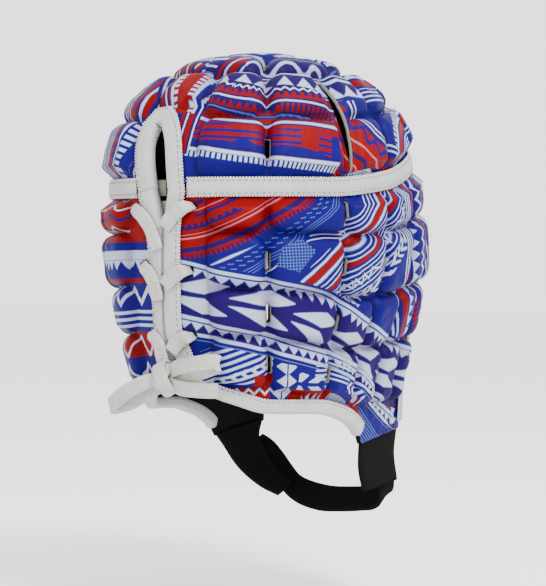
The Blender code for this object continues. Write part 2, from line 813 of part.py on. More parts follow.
def trim_rings(pattern, edge, inner_side, leg):
    """Sections of a tape folded over an edge: a leg outside, a turn round the edge and a leg inside."""
    edge = np.asarray(edge, float)
    leg = np.broadcast_to(np.asarray(leg, float), len(edge))
    tangent = np.gradient(edge, axis=0)
    inward = np.stack([-tangent[:, 1], tangent[:, 0]], axis=1) * inner_side
    points, normal, across, along = frame_at(pattern, edge)
    reach = across * inward[:, :1] + along * inward[:, 1:]
    inward /= np.linalg.norm(reach, axis=1, keepdims=True)
    reach /= np.linalg.norm(reach, axis=1, keepdims=True)
    outside, behind = WALL + TAPE_GAP, -TAPE_GAP
    profile = (
        # share of the leg, fixed reach, height over the inner face
        (1.0, 0.0, outside),
        (1.0, 0.0, outside + TAPE),
        (0.0, 0.0, outside + TAPE),
        (0.0, -GAP - TAPE, WALL * 0.75),
        (0.0, -GAP - TAPE, WALL * 0.10),
        (0.0, 0.0, behind - TAPE),
        (INNER_LEG, 0.0, behind - TAPE),
        (INNER_LEG, 0.0, behind),
        (0.0, -GAP, behind),
        (0.0, -GAP, outside),
    )
    rings = []
    for share, fixed, height in profile:
        if share > 0:
            base, up, _, _ = frame_at(pattern, edge + inward * (leg * share)[:, None])
            rings.append(base + up * height)
        else:
            rings.append(points + reach * fixed + normal * height)
    return np.stack(rings, axis=1)


def slit_trim(material):
    """The tape round the slit: up the right edge, over the arch and down the left edge."""
    below = trim_rings(SidePattern, slit_edge(1)[::-1], -1, TAPE_LEG)
    over = trim_rings(CrownPattern, slit_arch(), 1, TAPE_LEG)
    left = slit_edge(2)
    legs = TAPE_LEG * smooth_table(-left[:, 1] / NAPE_DROP, SLIT_LINE, 3)
    beyond = trim_rings(SidePattern, left, -1, legs)
    return sweep("slit_binding", np.concatenate([below, over, beyond]), material)


def seam_band(material):
    """The flat tape over the seam between the shells, from one slit tape round to the other."""
    start = (SLIT_LINE[0][1] * SLIT_WIDE + TAPE_LEG + 7 * GAP) / BACK_REACH
    end = math.tau + (SLIT_LINE[0][2] * SLIT_WIDE - TAPE_LEG - 7 * GAP) / BACK_REACH
    turns = np.linspace(start, end, 72)
    rings = []
    for rise, height in ((-0.5, 0), (-0.5, 1), (0, 1.4), (0.5, 1), (0.5, 0), (0, 0.3)):
        flat = np.stack([turns * UNROLLED, band_height(turns) + rise * BAND_WIDTH], axis=1)
        rings.append(lifted(SidePattern, flat, np.full(len(flat), WALL + TAPE_GAP + TAPE * height)))
    return sweep("seam_band", np.stack(rings, axis=1), material)


def ribbon(name, path, sides, thick, wide, material, square=True):
    """Flat strap along a path: sides holds its width's direction, turned square to it unless told not to."""
    path, sides = np.asarray(path, float), np.asarray(sides, float)
    tangent = np.gradient(path, axis=0)
    tangent /= np.linalg.norm(tangent, axis=1, keepdims=True)
    if square:
        sides = sides - tangent * (sides * tangent).sum(axis=1, keepdims=True)
    sides /= np.linalg.norm(sides, axis=1, keepdims=True)
    normal = np.cross(tangent, sides)
    normal /= np.linalg.norm(normal, axis=1, keepdims=True)
    wide = np.broadcast_to(np.asarray(wide, float), len(path))[:, None] / 2
    thick = np.broadcast_to(np.asarray(thick, float), len(path))[:, None] / 2
    shape = ((-1, -0.5), (-0.8, -1), (0.8, -1), (1, -0.5), (1, 0.5), (0.8, 1), (-0.8, 1), (-1, 0.5))
    rings = [path + sides * wide * x + normal * thick * y for x, y in shape]
    return sweep(name, np.stack(rings, axis=1), material)


def lace_run(row, material):
    """One run of the lace: out of its hole, over the tape and down to the gap."""
    name, reach, drop, end_reach, end_drop = row
    start = np.array([reach * LACE_REACH, -drop * NAPE_DROP])
    end = np.array([end_reach * LACE_REACH, -end_drop * NAPE_DROP])
    rest = WALL + TAPE + TAPE_GAP + 2 * GAP + LACE_THICK / 2
    marks = (
        # share of the run, height, share of the width
        (0.00, WALL * 0.375, 0.38),
        (0.02, rest * 0.80, 0.44),
        (0.14, rest + LACE_THICK * 0.50, 0.74),
        (0.30, rest + LACE_THICK * 0.25, 1.00),
        (0.55, rest, 1.00),
        (0.80, rest, 1.00),
        (1.00, rest, 0.92),
    )
    flat = np.array([start + (end - start) * share for share, _, _ in marks])
    path = lifted(SidePattern, flat, np.array([height for _, height, _ in marks]))
    _, normal, across, along = frame_at(SidePattern, flat)
    way = (end - start) / np.linalg.norm(end - start)
    side = np.cross(normal, across * way[0] + along * way[1])
    wide = LACE_WIDE * np.array([share for _, _, share in marks])
    return ribbon("lace_" + name, path, side, LACE_THICK, wide, material)


def knot_place():
    """Middle of the knot of the bow, over the slit near the rim."""
    flat = np.array([[0.001, -KNOT_DROP * NAPE_DROP]])
    stand = WALL + TAPE + TAPE_GAP + GAP + LACE_THICK + KNOT_TALL * 0.155
    return lifted(SidePattern, flat, np.array([stand]))[0]


def bow_ribbon(rows, side):
    """Ribbon of the bow through the rows of a table, to one side of the knot."""
    middle = knot_place()
    rows = np.array(rows)
    scale = np.array([BOW_REACH * side, BOW_STAND, BOW_DROP])
    path = middle + rows[:, :3] * scale
    tilt = np.tile((0.10 * side, 0.20, 1.0), (len(path), 1))
    return path, tilt, LACE_WIDE * rows[:, 3]


def joined(name, pieces, material):
    """One solid out of overlapping ones."""
    base = pieces[0]
    for piece in pieces[1:]:
        modifier = base.modifiers.new("join", "BOOLEAN")
        modifier.operation = "UNION"
        modifier.solver = "EXACT"
        modifier.object = piece
    bpy.context.view_layer.update()
    graph = bpy.context.evaluated_depsgraph_get()
    mesh = bpy.data.meshes.new_from_object(base.evaluated_get(graph))
    for piece in pieces:
        bpy.data.objects.remove(piece)
    obj = bpy.data.objects.new(name, mesh)
    mesh.name = name
    PARTS.objects.link(obj)
    tidy(obj)
    return obj


def lace_bow(material):
    """The bow: a knot, a loop on either side and one tail."""
    middle = knot_place()
    bpy.ops.mesh.primitive_uv_sphere_add(segments=10, ring_count=7, radius=0.5, location=middle)
    knot = bpy.context.active_object
    knot.scale = (KNOT_TALL * 0.66, KNOT_TALL * 0.50, KNOT_TALL)
    knot.rotation_euler = (0, math.radians(14), 0)
    bpy.ops.object.transform_apply(location=True, rotation=True, scale=True)
    for collection in list(knot.users_collection):
        collection.objects.unlink(knot)
    PARTS.objects.link(knot)
    knot.data.materials.append(material)
    pieces = [knot]
    for rows, side in ((LEFT_LOOP, 1), (RIGHT_LOOP, -1), (RIGHT_TAIL, -1)):
        path, tilt, wide = bow_ribbon(rows, side)
        pieces.append(ribbon("run", path, tilt, LACE_THICK, wide, material))
    return joined("lace_bow", pieces, material)


def tip_corners(side):
    """Rear and front corner of the tongue's tip, in the middle of the cloth."""
    flat = np.stack([rim_edge()[-1], face_edge()[0]])
    if side < 0:
        flat = mirrored(flat)
    return lifted(SidePattern, flat, np.full(2, WALL / 2))


def run_of_strap(rows):
    """Path, width directions and widths of a strap through the rows of a table."""
    rows = np.array(rows)
    low = -RIM_LINE[-1][1] * NAPE_DROP
    across, forward, down = rows[:, 0] * STRAP_REACH, rows[:, 1] * STRAP_REACH, rows[:, 2] * STRAP_DROP
    path = np.stack([across, -forward, low - down], axis=1)
    turn = np.stack([-rows[:, 4], -np.ones(len(rows)), rows[:, 5]], axis=1)
    return path, turn, STRAP_WIDE * rows[:, 3]


def strap_parts(material):
    """The two tabs that hang from the tongues and the strap between them."""
    rear, front = tip_corners(-1)
    drop = np.array([0, 0, -2.5 * GAP])
    path, turn, wide = run_of_strap(TAB_RUN)
    path = np.vstack([(rear + front) / 2 + drop, path])
    turn = np.vstack([front - rear, turn])
    wide = np.concatenate([[np.linalg.norm(front - rear) * 0.98], wide])
    ribbon("left_strap_tab", path, turn, TAB_THICK, wide, material, square=False)
    path, turn, wide = run_of_strap(STRAP_RUN)
    ribbon("chin_strap", path, turn, STRAP_THICK, wide, material)
    rear, front = tip_corners(1)
    low = (rear + front) / 2 + (0.02 * STRAP_REACH, -0.12 * STRAP_REACH, -0.78 * STRAP_DROP)
    path = np.stack([(rear + front) / 2 + drop, ((rear + front) / 2 + low) / 2 + (0, 0.003, 0), low])
    turn = np.stack([front - rear, front - rear, (0, -1.0, 0.12)])
    size = np.linalg.norm(front - rear)
    wide = np.array([0.98, 0.92, 0.76]) * size
    ribbon("right_strap_tab", path, turn, TAB_THICK, wide, material, square=False)


PARTS = bpy.data.collections.new("parts")
CUTTERS = bpy.data.collections.new("cutters")


def main():
    """Clears the scene and builds every piece."""
    for obj in list(bpy.data.objects):
        bpy.data.objects.remove(obj)
    for collection in (PARTS, CUTTERS):
        bpy.context.scene.collection.children.link(collection)
    CUTTERS.hide_render = True
    print_cloth = make_material("printed_cloth", (0.03, 0.05, 0.42))
    white = make_material("white_tape", (0.80, 0.79, 0.78))
    lace = make_material("lace", (0.86, 0.86, 0.83))
    black = make_material("black_webbing", (0.01, 0.01, 0.012))
    outline = side_outline()
    shell("side_shell", SidePattern, [outline] + side_holes(), side_places(True), side_places(False),
          side_height(), print_cloth)
    outline = crown_outline()
    shell("crown_shell", CrownPattern, [outline] + crown_holes(), crown_places(True), crown_places(False),
          crown_height(outline), print_cloth)
    slit_trim(white)
    seam_band(white)
    for row in LACE_RUNS:
        lace_run(row, lace)
    for side, word in ((1, "right"), (-1, "left")):
        rim = rim_edge()[:-1]
        if side < 0:
            rim = mirrored(rim)
        sweep(word + "_rim_binding", trim_rings(SidePattern, rim, side, RIM_LEG), white)
    lace_bow(lace)
    strap_parts(black)
    face = face_edge()[2:]
    face = np.concatenate([face, mirrored(face)[::-1][1:]])
    sweep("face_binding", trim_rings(SidePattern, face, 1, RIM_LEG), white)


main()
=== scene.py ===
"""Looks of a padded rugby scrum cap over its fixed CAD frame.

Metres, +Z up. The origin is the middle of the head at the level of the seam band. The wearer
looks along -Y, so the laced slit is at +Y and the wearer's right side is at -X. Angles run from
the middle of the back toward the wearer's right.
"""

import logging
import math
from collections.abc import Callable, Sequence
from dataclasses import dataclass, field
from enum import Enum

import bpy
import numpy as np
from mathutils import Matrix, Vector
from mathutils.geometry import delaunay_2d_cdt


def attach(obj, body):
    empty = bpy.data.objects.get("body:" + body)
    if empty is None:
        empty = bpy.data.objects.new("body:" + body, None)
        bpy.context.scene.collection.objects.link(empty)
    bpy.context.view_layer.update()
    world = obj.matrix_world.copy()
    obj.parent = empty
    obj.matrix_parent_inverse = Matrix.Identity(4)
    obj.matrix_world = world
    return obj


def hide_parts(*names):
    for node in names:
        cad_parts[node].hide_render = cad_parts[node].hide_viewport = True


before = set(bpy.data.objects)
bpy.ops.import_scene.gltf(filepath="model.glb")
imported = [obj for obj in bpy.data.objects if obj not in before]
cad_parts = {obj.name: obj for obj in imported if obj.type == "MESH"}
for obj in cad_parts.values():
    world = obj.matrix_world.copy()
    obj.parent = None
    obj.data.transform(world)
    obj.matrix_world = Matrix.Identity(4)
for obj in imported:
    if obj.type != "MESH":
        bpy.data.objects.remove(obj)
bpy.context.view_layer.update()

LOG = logging.getLogger("scrum_cap")
FULL_TURN = math.tau
Rows = Sequence[Sequence[float]]


Color = tuple[float, float, float]


class Slot(Enum):
    """Material slots."""

    PRINT = "printed_cloth"
    TAPE = "white_tape"
    LACE = "lace"
    WEBBING = "black_webbing"


class Side(Enum):
    """Side of the wearer, by the sign of the angle that it has from the back."""

    RIGHT = 1
    LEFT = -1


def smooth_table(x: np.ndarray | float, rows: Rows, column: int = 1) -> np.ndarray:
    """Reads a table by cubic pieces that add no bump between its rows.

    Args:
        x: Places along the table's first column.
        rows: Rows of the table, in rising order of the first column.
        column: The column to read.

    Returns:
        The column's value at each place.
    """
    xs = np.array([row[0] for row in rows], float)
    ys = np.array([row[column] for row in rows], float)
    step = np.diff(xs)
    slope = np.diff(ys) / step
    tangent = np.concatenate([slope[:1], np.zeros(len(xs) - 2), slope[-1:]])
    for i in range(1, len(xs) - 1):
        if slope[i - 1] * slope[i] > 0:
            near = 2 * step[i] + step[i - 1]
            far = step[i] + 2 * step[i - 1]
            tangent[i] = (near + far) / (near / slope[i - 1] + far / slope[i])
    x = np.clip(x, xs[0], xs[-1])
    i = np.clip(np.searchsorted(xs, x, side="right") - 1, 0, len(step) - 1)
    t = (x - xs[i]) / step[i]
    return (
        (1 + 2 * t) * (1 - t) ** 2 * ys[i]
        + t * (1 - t) ** 2 * step[i] * tangent[i]
        + t * t * (3 - 2 * t) * ys[i + 1]
        + t * t * (t - 1) * step[i] * tangent[i + 1]
    )


def from_back(angle: np.ndarray | float) -> np.ndarray:
    """Degrees from the back, 0 to 180, on either side."""
    turned = (np.asarray(angle, float) + math.pi) % FULL_TURN - math.pi
    return np.abs(np.degrees(turned))


def nearest_on(flat: np.ndarray, line: np.ndarray) -> tuple[np.ndarray, np.ndarray, np.ndarray]:
    """Finds the nearest place of a polyline.

    Args:
        flat: Places, one a row.
        line: The polyline's points, one a row.

    Returns:
        The distance, the length along the line and the side (-1 or 1) of each place.
    """
    start, reach = line[:-1], line[1:] - line[:-1]
    size = np.linalg.norm(reach, axis=1)
    before = np.concatenate([[0], np.cumsum(size)])[:-1]
    distance, along, side = (np.empty(len(flat)) for _ in range(3))
    for first in range(0, len(flat), 8000):
        part = flat[first : first + 8000]
        away = part[:, None, :] - start
        share = np.clip((away * reach).sum(axis=2) / np.maximum(size**2, 1e-18), 0, 1)
        miss = away - share[..., None] * reach
        gap = np.linalg.norm(miss, axis=2)
        best = gap.argmin(axis=1)
        row = np.arange(len(part))
        distance[first : first + 8000] = gap[row, best]
        along[first : first + 8000] = before[best] + share[row, best] * size[best]
        cross = reach[best, 0] * away[row, best, 1] - reach[best, 1] * away[row, best, 0]
        side[first : first + 8000] = np.where(cross >= 0, 1, -1)
    return distance, along, side


def distance_to(flat: np.ndarray, line: np.ndarray) -> np.ndarray:
    """Least distance from each flat place to a polyline."""
    return nearest_on(flat, line)[0]


def inside(flat: np.ndarray, loop: np.ndarray) -> np.ndarray:
    """Tells which flat places lie within a closed loop.

    Args:
        flat: Places, one a row.
        loop: The loop's points, its first not repeated.

    Returns:
        True for each place inside.
    """
    after = np.roll(loop, -1, axis=0)
    rise = after[:, 1] - loop[:, 1]
    rise = np.where(rise == 0, 1, rise)
    found = np.empty(len(flat), bool)
    for first in range(0, len(flat), 20000):
        x, y = flat[first : first + 20000, 0, None], flat[first : first + 20000, 1, None]
        spans = (loop[:, 1] > y) != (after[:, 1] > y)
        crossing = loop[:, 0] + (y - loop[:, 1]) * (after[:, 0] - loop[:, 0]) / rise
        found[first : first + 20000] = ((spans & (x < crossing)).sum(axis=1) % 2).astype(bool)
    return found


def within_box(flat: np.ndarray, loop: np.ndarray, margin: float) -> np.ndarray:
    """Tells which flat places lie in the box round a loop, with a margin."""
    low, high = loop.min(axis=0) - margin, loop.max(axis=0) + margin
    return ((flat > low) & (flat < high)).all(axis=1)


def ring_of(loop: np.ndarray) -> np.ndarray:
    """A loop's points with its first one again at the end."""
    return np.vstack([loop, loop[:1]])


def lengths_along(line: np.ndarray) -> np.ndarray:
    """Length from a line's start to each of its points."""
    return np.concatenate([[0], np.cumsum(np.linalg.norm(np.diff(line, axis=0), axis=1))])


def read_at(marks: np.ndarray, length: np.ndarray, rows: np.ndarray) -> np.ndarray:
    """Rows at marks between the lengths that they belong to."""
    return np.stack([np.interp(marks, length, column) for column in rows.T], axis=1)


def resampled(line: np.ndarray, step: float) -> np.ndarray:
    """The same polyline, flat or in space, with points about this far apart.

    Args:
        line: Points of the line, one a row.
        step: Distance between the new points.

    Returns:
        The new points, both ends among them.
    """
    line = np.asarray(line, float)
    length = lengths_along(line)
    count = max(1, round(length[-1] / step))
    return read_at(np.linspace(0, length[-1], count + 1), length, line)


def rounded(line: np.ndarray, rounds: int = 2) -> np.ndarray:
    """Corner cutting that keeps both ends.

    Args:
        line: Points of the line, one a row.
        rounds: How often the corners are cut.

    Returns:
        The rounder line.
    """
    for _ in range(rounds):
        near = line[:-1] * 0.75 + line[1:] * 0.25
        far = line[:-1] * 0.25 + line[1:] * 0.75
        middle = np.stack([near, far], axis=1).reshape(-1, line.shape[1])
        line = np.concatenate([line[:1], middle, line[-1:]])
    return line


def smooth_path(points: np.ndarray, parts: int) -> np.ndarray:
    """A smooth curve through points.

    Args:
        points: Points or any rows of numbers, one a row.
        parts: Number of pieces between two points.

    Returns:
        Rows along the curve, the given ones among them.
    """
    points = np.asarray(points, float)
    ends = np.vstack([2 * points[0] - points[1], points, 2 * points[-1] - points[-2]])
    rows = []
    for i in range(1, len(ends) - 2):
        a, b, c, d = ends[i - 1 : i + 3]
        for t in np.arange(parts) / parts:
            rows.append(0.5 * (2 * b + (c - a) * t + (2 * a - 5 * b + 4 * c - d) * t**2
                               + (3 * b - a - 3 * c + d) * t**3))
    return np.array(rows + [points[-1]])


def unit(rows: np.ndarray) -> np.ndarray:
    """The same directions with length 1."""
    return rows / np.maximum(np.linalg.norm(rows, axis=-1, keepdims=True), 1e-12)


@dataclass(frozen=True)
class HeadForm:
    """Inner face of the cap, as a head fills it."""

    width: float = 0.163
    back_reach: float = 0.099
    front_reach: float = 0.098
    crown_rise: float = 0.073
    crown_fullness: float = 2.30
    back_fullness: float = 0.06
    front_lift: float = 0.024
    nape_drop: float = 0.1245
    left_lean: float = 0.0110
    rings: Rows = (
        # drop, width, back reach, front reach, squareness of the front
        (0.00, 1.000, 1.000, 1.000, 2.0),
        (0.18, 1.012, 0.990, 1.040, 2.1),
        (0.36, 0.975, 0.985, 1.045, 2.3),
        (0.55, 0.885, 0.965, 1.010, 2.5),
        (0.75, 0.780, 0.930, 1.000, 2.9),
        (0.95, 0.710, 0.885, 0.990, 3.3),
        (1.25, 0.700, 0.850, 0.985, 3.5),
    )
    band_line: Rows = (
        # degrees from the back, share of the lift
        (0, 0.00),
        (60, 0.02),
        (90, 0.20),
        (125, 0.68),
        (155, 0.93),
        (180, 1.00),
    )

    def band_height(self, angle: np.ndarray | float) -> np.ndarray:
        """Height of the seam band at an angle."""
        return self.front_lift * smooth_table(from_back(angle), self.band_line)

    def crown_power(self, angle: np.ndarray | float) -> np.ndarray:
        """How square the crown's side view is."""
        return self.crown_fullness + self.back_fullness * np.cos(angle)

    def crown_shrink(self, angle: np.ndarray | float, z: np.ndarray | float) -> np.ndarray:
        """Share of the head's reach that is left at a height above the band."""
        power = self.crown_power(angle)
        return (1 - np.clip(z / self.crown_rise, 0, 1) ** power) ** (1 / power)

    def crown_start(self, angle: np.ndarray | float) -> np.ndarray:
        """Turn of the crown's side view at which the seam lies."""
        lift = self.band_height(angle)
        return np.arctan2(lift / self.crown_rise, self.crown_shrink(angle, lift))

    def height_of_climb(self, angle: np.ndarray, climb: np.ndarray) -> np.ndarray:
        """Height at a share of the way from the seam to the apex.

        Args:
            angle: Angle from the back, in radians.
            climb: Share of the way from the seam to the apex.

        Returns:
            The height over the band's level.
        """
        start = self.crown_start(angle)
        turn = start + (math.pi / 2 - start) * np.clip(climb, -0.2, 1)
        power = self.crown_power(angle)
        out, up = np.cos(turn), np.sin(turn)
        reach = (np.abs(out) ** power + np.abs(up) ** power) ** (-1 / power)
        return self.crown_rise * reach * up

    def climb_of_height(self, angle: float, z: float) -> float:
        """Share of the way from the seam to the apex at a height.

        Args:
            angle: Angle from the back, in radians.
            z: Height over the band's level.

        Returns:
            The share.
        """
        start = self.crown_start(angle)
        turn = np.arctan2(z / self.crown_rise, self.crown_shrink(angle, z))
        return float((turn - start) / (math.pi / 2 - start))

    def point(self, angle: np.ndarray, z: np.ndarray) -> np.ndarray:
        """Finds points of the inner face.

        Args:
            angle: Angles from the back toward the wearer's right.
            z: Heights over the band's level.

        Returns:
            Points, with their three coordinates along the last axis.
        """
        drop = np.clip(-z / self.nape_drop, 0, None)
        width = smooth_table(drop, self.rings, 1) * self.width / 2
        back = smooth_table(drop, self.rings, 2) * self.back_reach
        front = smooth_table(drop, self.rings, 3) * self.front_reach
        square = smooth_table(drop, self.rings, 4)
        behind = np.cos(angle) >= 0
        reach = np.where(behind, back, front)
        power = np.where(behind, 2.0, square)
        across = np.abs(np.sin(angle) / width) ** power
        along = np.abs(np.cos(angle) / reach) ** power
        radius = (across + along) ** (-1 / power) * self.crown_shrink(angle, z)
        low = np.clip((drop - 0.68) / 0.60, 0, 1.2)
        eased = low**2 * (3 - 2 * np.minimum(low, 1))
        lean = self.left_lean * np.clip(-np.sin(angle), 0, 1) * eased
        x = -radius * np.sin(angle) - lean
        return np.stack([x, radius * np.cos(angle), z + 0 * radius], axis=-1)


FORM = HeadForm()


class Pattern:
    """A flat layout of the cloth, and the way from it to the head form."""

    step = 2e-4

    def surface(self, flat: np.ndarray) -> np.ndarray:
        """Points of the inner face over flat places."""
        raise NotImplementedError

    def frame_at(self, flat: np.ndarray) -> tuple[np.ndarray, np.ndarray, np.ndarray, np.ndarray]:
        """Points, outward normals and the two edge vectors of the inner face over flat places.

        Args:
            flat: Flat places, one a row.

        Returns:
            Four arrays of vectors, one row for each place.
        """
        flat = np.asarray(flat, float)
        across = self.surface(flat + (self.step, 0)) - self.surface(flat - (self.step, 0))
        along = self.surface(flat + (0, self.step)) - self.surface(flat - (0, self.step))
        normal = unit(np.cross(across, along))
        points = self.surface(flat)
        inward = np.sum(normal * (points - (0, 0, -0.02)), axis=-1, keepdims=True) < 0
        normal = np.where(inward, -normal, normal)
        return points, normal, across / (2 * self.step), along / (2 * self.step)

    def lifted(self, flat: np.ndarray, height: np.ndarray | float) -> np.ndarray:
        """Space places at a height over the head form, from flat places.

        Args:
            flat: Flat places, one a row.
            height: Height over the form, one for all or one for each.

        Returns:
            Points.
        """
        points, normal, _, _ = self.frame_at(flat)
        height = np.broadcast_to(np.asarray(height, float), points.shape[:-1])
        return points + normal * height[..., None]


class SidePattern(Pattern):
    """The wall below the band, unrolled: x is the angle times the radius, y is the height."""

    radius = 0.090

    def surface(self, flat: np.ndarray) -> np.ndarray:
        """Points of the inner face over flat places."""
        return FORM.point(flat[..., 0] / self.radius, flat[..., 1])

    def at(self, degrees: float, share: float) -> np.ndarray:
        """Flat place of an angle and a share of the nape drop."""
        return np.array([math.radians(degrees) * self.radius, -share * FORM.nape_drop])

    def beside_band(self, turns: np.ndarray, rise: float) -> np.ndarray:
        """Flat line at a height over the middle of the seam band."""
        return np.stack([turns * self.radius, FORM.band_height(turns) + rise], axis=1)

    def mirrored(self, line: np.ndarray) -> np.ndarray:
        """The same flat line on the wearer's left."""
        return np.stack([FULL_TURN * self.radius - line[:, 0], line[:, 1]], axis=1)


class CrownPattern(Pattern):
    """The dome above the band as a disc: the radius runs from the apex to the band."""

    disc = 0.115

    def surface(self, flat: np.ndarray) -> np.ndarray:
        """Points of the inner face over flat places.

        Args:
            flat: Flat places, one a row.

        Returns:
            Points, one a row.
        """
        angle = np.arctan2(flat[..., 0], flat[..., 1])
        climb = 1 - np.hypot(flat[..., 0], flat[..., 1]) / self.disc
        return FORM.point(angle, FORM.height_of_climb(angle, climb))

    def at(self, angle: float, climb: float) -> np.ndarray:
        """Flat place of an angle and a share of the climb."""
        return (1 - climb) * self.disc * np.array([math.sin(angle), math.cos(angle)])


SIDE = SidePattern()
CROWN = CrownPattern()


@dataclass(frozen=True)
class Cloth:
    """Thickness of the padded cloth and of the trims that lie on it."""

    wall: float = 0.0032
    pad: float = 0.0075
    shoulder: float = 0.0080
    floor: float = 0.0006
    gap: float = 0.0003
    tape: float = 0.0013
    tape_gap: float = 0.0009
    tape_leg: float = 0.0092
    rim_leg: float = 0.0068
    inner_leg: float = 0.7
    band_width: float = 0.0102
    band_seam: float = 0.0012
    band_clear: float = 0.0012
    tape_clear: float = 0.0015
    fade: float = 0.006
    fade_round: float = 0.35
    swell: float = 0.00022
    pucker: float = 0.00016


CLOTH = Cloth()


@dataclass(frozen=True)
class LaceRun:
    """One run of the lace over the slit, from its hole to the gap."""

    side: Side
    reach: float
    drop: float
    end_reach: float
    end_drop: float


@dataclass(frozen=True)
class Outlines:
    """Edges of the two shells on their flat patterns."""

    slit_wide: float = 0.0130
    slit_rise: float = 0.037
    slit_lean: float = 0.0065
    vent_long: float = 0.0110
    vent_wide: float = 0.0030
    side_vent_wide: float = 0.0070
    eyelet: float = 0.0052
    lace_reach: float = 0.0200
    rim_line: Rows = (
        # degrees from the back, share of the nape drop
        (0, 0.925),
        (10, 0.938),
        (20, 0.982),
        (36, 1.038),
        (50, 1.044),
        (66, 1.052),
        (80, 1.078),
        (90, 1.105),
        (98, 1.140),
        (103, 1.180),
        (106, 1.225),
    )
    face_line: Rows = (
        # degrees from the back, share of the nape drop
        (144, 1.172),
        (146, 1.000),
        (146, 0.770),
        (145, 0.560),
        (145, 0.400),
        (147, 0.295),
        (152, 0.215),
        (160, 0.172),
        (170, 0.156),
        (180, 0.152),
    )
    slit_line: Rows = (
        # share of the nape drop, right edge, left edge as shares of the slit's width, left tape leg
        (0.000, 0.420, -0.560, 1.00),
        (0.110, 0.260, -0.300, 1.00),
        (0.200, 0.170, -0.120, 0.95),
        (0.420, 0.120, -0.165, 0.62),
        (0.660, 0.030, -0.255, 0.48),
        (0.740, 0.280, -0.160, 0.55),
        (0.925, 0.750, -0.050, 0.85),
    )
    lace_runs: Sequence[LaceRun] = (
        LaceRun(Side.RIGHT, 0.870, 0.085, 0.150, 0.185),
        LaceRun(Side.LEFT, -0.960, 0.085, -0.080, 0.285),
        LaceRun(Side.RIGHT, 0.760, 0.380, 0.120, 0.450),
        LaceRun(Side.LEFT, -0.640, 0.350, -0.120, 0.515),
        LaceRun(Side.RIGHT, 0.740, 0.680, 0.160, 0.750),
        LaceRun(Side.LEFT, -0.480, 0.660, -0.140, 0.800),
    )
    fine: float = 0.0015
    tongue_set_back: float = 0.004
    set_back_start: float = 0.095
    set_back_run: float = 0.035
    vent_low: tuple[float, float] = (math.radians(69), 0.06)
    vent_high: tuple[float, float] = (math.radians(66), 0.56)

    def slit_edge(self, side: Side) -> np.ndarray:
        """One edge of the slit below the band, from the band down to the rim.

        Args:
            side: The side of the wearer.

        Returns:
            Flat points.
        """
        column = 1 if side is Side.RIGHT else 2
        top = CLOTH.band_seam / 2 / FORM.nape_drop
        shares = np.linspace(top, self.slit_line[-1][0], 70)
        reach = self.slit_wide * smooth_table(shares, self.slit_line, column)
        return np.stack([reach, -shares * FORM.nape_drop], axis=1)

    def rim_edge(self) -> np.ndarray:
        """Lower edge of the right side, from the slit forward to the tip of the tongue.

        Returns:
            Flat points.
        """
        marks = np.concatenate([np.arange(13, 88, 1.0), np.arange(88, 106, 0.6), [106]])
        depth = FORM.nape_drop * smooth_table(marks, self.rim_line)
        return np.stack([np.radians(marks) * SIDE.radius, -depth], axis=1)

    def face_edge(self) -> np.ndarray:
        """Front edge of the right side, from the tip of the tongue up to the middle of the brow.

        Returns:
            Flat points.
        """
        corners = np.array([SIDE.at(*row) for row in self.face_line])
        edge = resampled(rounded(corners, 3), self.fine)
        set_back = np.clip((-edge[:, 1] - self.set_back_start) / self.set_back_run, 0, 1)
        edge[:, 0] -= self.tongue_set_back * set_back
        return edge

    def side_loop(self) -> np.ndarray:
        """The whole outline of the side shell, round from the slit.

        Returns:
            Flat points, the first not repeated.
        """
        tip = resampled(np.array([self.rim_edge()[-1], self.face_edge()[0]]), self.fine)[1:-1]
        right = np.concatenate([self.rim_edge(), tip, self.face_edge()])
        right_slit = self.slit_edge(Side.RIGHT)
        left_slit = self.slit_edge(Side.LEFT) + (FULL_TURN * SIDE.radius, 0)
        turns = np.linspace(left_slit[0][0], right_slit[0][0], 361)[1:-1] / SIDE.radius
        band = SIDE.beside_band(turns, -CLOTH.band_seam / 2)
        left = SIDE.mirrored(right)[::-1][1:]
        return np.concatenate([right_slit, right, left, left_slit[::-1], band])

    def slit_arch(self) -> np.ndarray:
        """Slit edge above the band, from the right foot over the top to the left.

        Returns:
            Flat points on the crown's disc.
        """
        top = (1 - FORM.climb_of_height(0.0, self.slit_rise)) * CROWN.disc
        run = CROWN.disc - top
        scale = self.slit_wide * CROWN.disc / FORM.back_reach
        half = (self.slit_line[0][1] - self.slit_line[0][2]) / 2
        middle = (self.slit_line[0][1] + self.slit_line[0][2]) / 2
        shares = ((1.0, 1.0), (1.0, 0.55), (0.84, 0.25), (0.26, 0.0))
        right = np.array([(half * wide * scale, top + rise * run) for wide, rise in shares])
        right = resampled(rounded(right, 3), self.fine)
        arch = np.concatenate([right, right[::-1] * (-1, 1)])
        lean = self.slit_lean * (CROWN.disc - arch[:, 1]) / run
        return arch + np.stack([middle * scale - lean, 0 * lean], axis=1)

    def crown_loop(self) -> np.ndarray:
        """The whole outline of the crown on its disc.

        Returns:
            Flat points, the first not repeated.
        """
        arch = self.slit_arch()
        start = math.atan2(arch[0][0], arch[0][1])
        turns = np.linspace(FULL_TURN - start, start, 361)[1:-1]
        circle = CROWN.disc * np.stack([np.sin(turns), np.cos(turns)], axis=1)
        return np.concatenate([arch, circle]) * (1 - CLOTH.band_seam / 2 / CROWN.disc)

